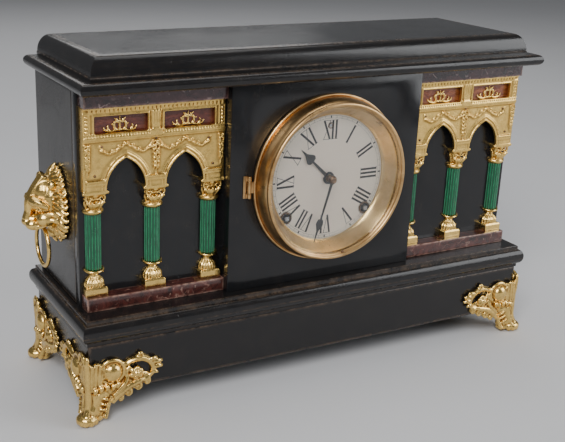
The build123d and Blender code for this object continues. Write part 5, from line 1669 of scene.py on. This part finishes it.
def loop(face, centre, radius, start, stop, out, thick, thin):
    """Part of a ring on a wing, thinning towards its end."""
    count = 9
    angles = [math.radians(start + (stop - start) * n / count) for n in range(count + 1)]
    points = [(centre[0] + radius * math.cos(a), out, centre[1] + radius * math.sin(a)) for a in angles]
    return vine(face, points, [thick + (thin - thick) * n / count for n in range(count + 1)])


# %% One wing
def wing(face):
    parts = [knob(face, 17.6, 1.0, 39.8, (10.4, 2.2, 9.6)), knob(face, 8, 0.6, 34, (10.5, 2.4, 15.0)),
             knob(face, 22, 0.7, 27, (11.0, 2.2, 8.0)), knob(face, 33, 0.6, 31.0,
                     (9.0, 2.0, 7.0)), knob(face, 41, 0.4, 31, (8.0, 1.8, 4.5))]
    for n, (along, top, thick) in enumerate(((1.2, 50.6, 2.0), (4.4, 51.8, 1.9), (7.5, 50.4, 1.7),
                                             (10.0, 47.0, 1.5))):
        parts.append(vine(face, [(along * 0.8, 2.4, 27), (along * 0.9, 2.6, 38), (along + 0.3, 2.6, top - 4),
                                 (along + 0.8, 3.4, top - 1.4)],
                          [1.3, thick, thick, thick * 1.05]))
    parts.append(knob(face, 17.7, 3.0, 40.3, (7.6, 4.9, 7.6)))
    parts.append(loop(face, (17.7, 40.3), 9.5, 205, -45, 1.8, 1.9, 1.6))
    parts.append(loop(face, (17.7, 40.3), 9.6, 215, 340, 1.8, 1.7, 1.2))
    parts.append(loop(face, (16.6, 40.3), 12.2, 232, 300, 1.4, 1.6, 1.0))
    parts.append(vine(face, [(24.5, 1.4, 45.6), (29.0, 1.4, 45.0), (33.6, 1.4, 46.6), (39.5, 1.5, 47.6),
                             (45.5, 1.5, 45.6),
                             (50.0, 1.4, 41.0), (51.4, 1.3, 36.0), (49.0, 1.2, 31.4), (43.0, 1.2,
                                     29.4)], [2.0, 2.2, 2.6, 2.9, 2.8, 2.6, 2.4, 2.0, 2.0]))
    parts.append(vine(face, [(29.0, 3.0, 44.6), (35.0, 3.4, 47.4), (41.0, 3.6, 48.2), (46.5, 3.4, 45.4),
                             (50.6, 3.0, 40.4)],
                      [0.9, 1.2, 1.3, 1.1, 0.8]))
    for low, tip, radius in (((47, 44), (54.2, 45.4), 1.9), ((50, 42), (58.6, 42.0), 2.0),
                             ((51, 38), (58.8, 37.6), 2.0), ((50, 34), (55.0, 32.6), 1.8)):
        middle = ((low[0] + tip[0]) / 2, 2.8, (low[1] + tip[1]) / 2 + 0.8)
        parts.append(vine(face, [(low[0], 1.6, low[1]), middle, (tip[0], 1.8, tip[1])],
                          [radius, radius, radius * 0.75]))
    parts.append(vine(face, [(38.0, 1.6, 49.0), (40.5, 2.2, 51.8), (43.0, 1.8, 49.4)], [1.5, 1.5, 1.2]))
    for n in range(6):
        a = math.radians(20 + 60 * n)
        parts.append(knob(face, 37.0 + 3.7 * math.cos(a), 2.4, 35.8 + 3.7 * math.sin(a), (2.4, 2.3, 2.4)))
    parts.append(knob(face, 37.0, 3.6, 35.8, (2.9, 2.9, 2.9)))
    parts.append(loop(face, (36.0, 35.6), 7.0, 120, 285, 1.4, 1.9, 1.6))
    parts.append(vine(face, [(46.0, 1.4, 30.2), (39.0, 2.4, 28.4), (31.0, 2.8, 26.4), (24.0, 2.8, 21.8),
                             (17.0, 2.4, 14.8)],
                      [1.4, 2.2, 2.6, 2.6, 2.0]))
    parts.append(vine(face, [(29.0, 2.2, 37.0), (29.0, 3.0, 32.0), (24.6, 3.2, 26.4), (18.0, 3.0, 20.4)],
                      [1.3, 1.8, 2.0, 1.6]))
    for centre, radius in (((46.0, 27.0), 2.2), ((38.6, 24.0), 2.6), ((30.6, 20.6), 2.6),
                           ((24.0, 17.0), 2.0)):
        parts.append(knob(face, centre[0], 0.8, centre[1] + 0.6, (radius + 1.8, 1.6, radius + 0.9)))
        parts.append(loop(face, centre, radius, 170, -130, 2.2, 1.5, 0.9))
        parts.append(knob(face, centre[0] - 0.4, 2.4, centre[1], (1.3, 1.3, 1.2)))
    for along, up in ((3.0, 27.0), (7.6, 28.0), (12.4, 28.4), (17.2, 28.0), (21.2, 29.2)):
        parts.append(vine(face, [(along, 2.2, up + 3.2), (along + 0.4, 4.4, up + 1.2),
                                 (along - 0.6, 3.8, up - 2.4)], [1.3, 2.1, 1.0]))
    parts.append(loop(face, (11.4, 33.8), 3.4, 60, 250, 3.0, 1.5, 0.9))
    for along, up, size in ((7.4, 21.0, (10.6, 4.6, 7.5)), (6.4, 14.5, (9.0, 4.6, 7.5)),
                            (5.0, 8.5, (8.6, 5.4, 6.0)), (4.6, 4.2, (8.0, 5.8, 4.2))):
        parts.append(knob(face, along, -1.2, up, size))
    parts.append(vine(face, [(17.6, 0.8, 19.6), (14.6, 1.4, 13.6), (12.6, 2.6, 8.0), (10.6, 4.0, 3.4)],
                      [1.9, 1.8, 1.9, 2.0]))
    parts.append(vine(face, [(2.6, 2.8, 25.0), (3.2, 3.2, 17.0), (2.2, 4.2, 10.5), (-0.4, 6.0, 6.4)],
                      [1.5, 1.7, 1.6, 1.2]))
    for along, out, up in ((12.8, 2.6, 18.4), (11.2, 2.8, 14.4), (9.6, 3.6, 10.6)):
        parts.append(vine(face, [(along - 3.4, out + 0.4, up + 1.4), (along - 0.6, out + 1.0, up + 0.8),
                                 (along + 1.6, out - 0.2, up - 1.2)],
                          [0.8, 1.4, 0.8]))
    return parts


# %% Leg, toe and crest
def foot_core():
    parts = [stroke([(corner_x - 5.4, corner_y + 5.4, 22.0), (corner_x - 3.6, corner_y + 3.6, 15.0),
                     (corner_x - 1.0, corner_y + 1.0, 9.0),
                     (corner_x + 1.6, corner_y - 0.6, 5.4)], [9.4, 8.8, 7.6, 5.2]),
             stroke([(corner_x + 1.4, corner_y - 1.4, 34.0), (corner_x + 1.2, corner_y - 1.2, 22.0),
                     (corner_x + 1.4, corner_y - 1.4, 14.0),
                     (corner_x + 4.0, corner_y - 3.4, 7.0)], [2.4, 2.8, 3.0, 2.8]),
             lump((corner_x + 2.4, corner_y - 0.8, 4.6), (8.8, 8.2, 4.65))]
    for turn, size in ((-88, 2.4), (-50, 2.9), (-14, 2.9), (14, 2.9), (50, 2.9), (88, 2.4)):
        a = math.radians(-45 + turn)
        parts.append(lump((corner_x + 1.8 + 6.4 * math.cos(a), corner_y - 1.0 + 6.0 * math.sin(a) * 0.92,
                           3.6), (size, size * 0.9, 3.4)))
    parts.append(stroke([(corner_x + 0.8, corner_y - 0.8, 26), (corner_x + 1.6, corner_y - 1.6, 42),
                         (corner_x + 2.4, corner_y - 1.8, 51)],
                        [2.4, 2.6, 2.2]))
    parts += [lump((corner_x + 1.4, corner_y + 5.0, 49.6), (2.6, 5.4, 6.2)),
              stroke([(corner_x + 2.4, corner_y - 0.6, 49), (corner_x + 3.4, corner_y + 1.4, 54.4),
                      (corner_x + 3.2, corner_y + 6.4, 55.6),
                      (corner_x + 3.2, corner_y + 10.2, 51.0), (corner_x + 3.2, corner_y + 8.2,
                              46.4), (corner_x + 3.4, corner_y + 4.8, 47.6)],
                     [2.1, 2.0, 1.9, 1.8, 1.6, 1.2]),
              stroke([(corner_x + 2.6, corner_y - 1.6, 50), (corner_x + 2.0, corner_y - 2.6, 53.4),
                      (corner_x + 2.6, corner_y - 1.4, 56.2)],
                     [1.9, 1.6, 0.9])]
    flange_z = 20.4
    parts.append(bar((corner_x - 26, corner_y + 0.5, flange_z),
                     (corner_x - 0.5, corner_y + 26, flange_z + 2.2)))
    return parts


foot = cast(foot_core() + wing(0) + wing(1), "foot_front_right_gilt", voxel=0.5, rounds=3)
foot = boolean(foot, bar((corner_x - 90, corner_y - 30, -10), (corner_x + 40, corner_y + 90, 0.0)),
               "DIFFERENCE")
foot = boolean(foot, bar((corner_x - 90, corner_y + 0.02, 22.6), (corner_x - 0.02, corner_y + 90, 70)),
               "DIFFERENCE")
recalculate(foot, 0.000002)
pick(foot)
bpy.ops.object.shade_smooth()
mark_hollows(foot, 4, 1.0)
middle_y = (plinth_low.y + plinth_high.y) / 2
foot_left = mirrored(foot, "foot_front_left_gilt")
foot_back_right = mirrored(foot, "foot_back_right_gilt", 1, middle_y)
foot_back_left = mirrored(foot_back_right, "foot_back_left_gilt")
for piece, node in ((foot, "foot_front_right"), (foot_left, "foot_front_left"),
                    (foot_back_right, "foot_back_right"),
                    (foot_back_left, "foot_back_left")):
    finish_piece(piece, gilt_bright, "case", "gilt_metal", node)
spread_of_foot = [[round(f(v.co[k] for v in foot.data.vertices), 4) for k in range(3)] for f in (min, max)]
print("foot", len(foot.data.polygons), "faces", spread_of_foot)


# %% [markdown]
# ## The movement and the other frame nodes
# Nodes whose shape is right keep their mesh and only get their finish.

# %% Finishes for the nodes that stay
slot_finish = {"ebonised_wood": ebonised_panel, "plain_wood": back_wood, "marbled_wood": sill_marble,
               "gilt_metal": gilt,
               "green_lacquer": column_green, "bezel_brass": bezel_metal, "clear_glass": glass,
               "dial_enamel": enamel,
               "black_hands": hand_black, "bronzed_nut": nut_metal, "movement_brass": movement_metal,
               "steel": steel_metal, "iron": iron_metal, "door_tin": door_metal}
for entry in frame["record"]["subparts"]:
    node = nodes[entry["node"]]
    node.data.materials.clear()
    node.data.materials.append(slot_finish[entry["material_slot"]])


# %% [markdown]
# ## Stage, light and camera
# A plain pale floor lies under a grey world background. A large soft box on the left is the main light, a
# second one on the right fills, and one overhead draws the long highlights on the lacquer.

# %% Floor, lights and camera
bpy.ops.mesh.primitive_plane_add(size=8.0, location=(0, 0, -0.0005))
floor = bpy.context.object
floor.name = "floor"


def stage_finish():
    material, tree, shader = new_finish("pale_floor")
    soft = noise(tree, object_place(tree), 3.0, 4.0)
    base = blend_colour(tree, soft, (0.50, 0.50, 0.51), (0.54, 0.54, 0.55))
    tree.links.new(base, shader.inputs["Base Color"])
    shader.inputs["Roughness"].default_value = 0.7
    return material


floor.data.materials.append(stage_finish())


def soft_box(name, at, aim, size, power, colour=(1, 1, 1)):
    bpy.ops.object.light_add(type="AREA", location=at)
    light = bpy.context.object
    light.name = name
    light.data.shape = "RECTANGLE"
    light.data.size, light.data.size_y = size
    light.data.energy = power
    light.data.color = colour
    light.rotation_euler = (Vector(aim) - Vector(at)).to_track_quat("-Z", "Y").to_euler()
    return light


soft_box("key_light", (-1.3, -1.5, 1.7), (0, 0, 0.12), (1.1, 1.1), 64)
soft_box("fill_light", (1.6, -1.2, 0.9), (0, 0, 0.15), (1.2, 1.4), 27, (0.96, 0.98, 1.0))
soft_box("top_light", (0.1, 0.25, 1.9), (0, 0, 0.2), (1.8, 1.0), 12)
soft_box("back_light", (0.5, 1.9, 1.3), (0, 0, 0.15), (1.4, 1.0), 8)

world = bpy.data.worlds.new("studio")
bpy.context.scene.world = world
world.use_nodes = True
world.node_tree.nodes["Background"].inputs["Color"].default_value = (0.62, 0.64, 0.67, 1)
world.node_tree.nodes["Background"].inputs["Strength"].default_value = 0.24

camera_at = Vector((-0.42969, -0.70268, 0.39338))
yaw, pitch, roll = 0.49719, -0.33125, 0.03282
forward = Vector((math.sin(yaw) * math.cos(pitch), math.cos(yaw) * math.cos(pitch), math.sin(pitch)))
level_right = Vector((math.cos(yaw), -math.sin(yaw), 0))
level_up = level_right.cross(forward)
right = math.cos(roll) * level_right + math.sin(roll) * level_up
up = math.cos(roll) * level_up - math.sin(roll) * level_right
bpy.ops.object.camera_add(location=camera_at)
camera = bpy.context.object
camera.matrix_world = Matrix.Translation(camera_at) @ Matrix((right, up, -forward)).transposed().to_4x4()
camera.data.sensor_width = 36.0
camera.data.lens = 63.57
camera.data.shift_x = 0.0734
camera.data.shift_y = 0.0060
camera.data.clip_start = 0.01
bpy.context.scene.camera = camera
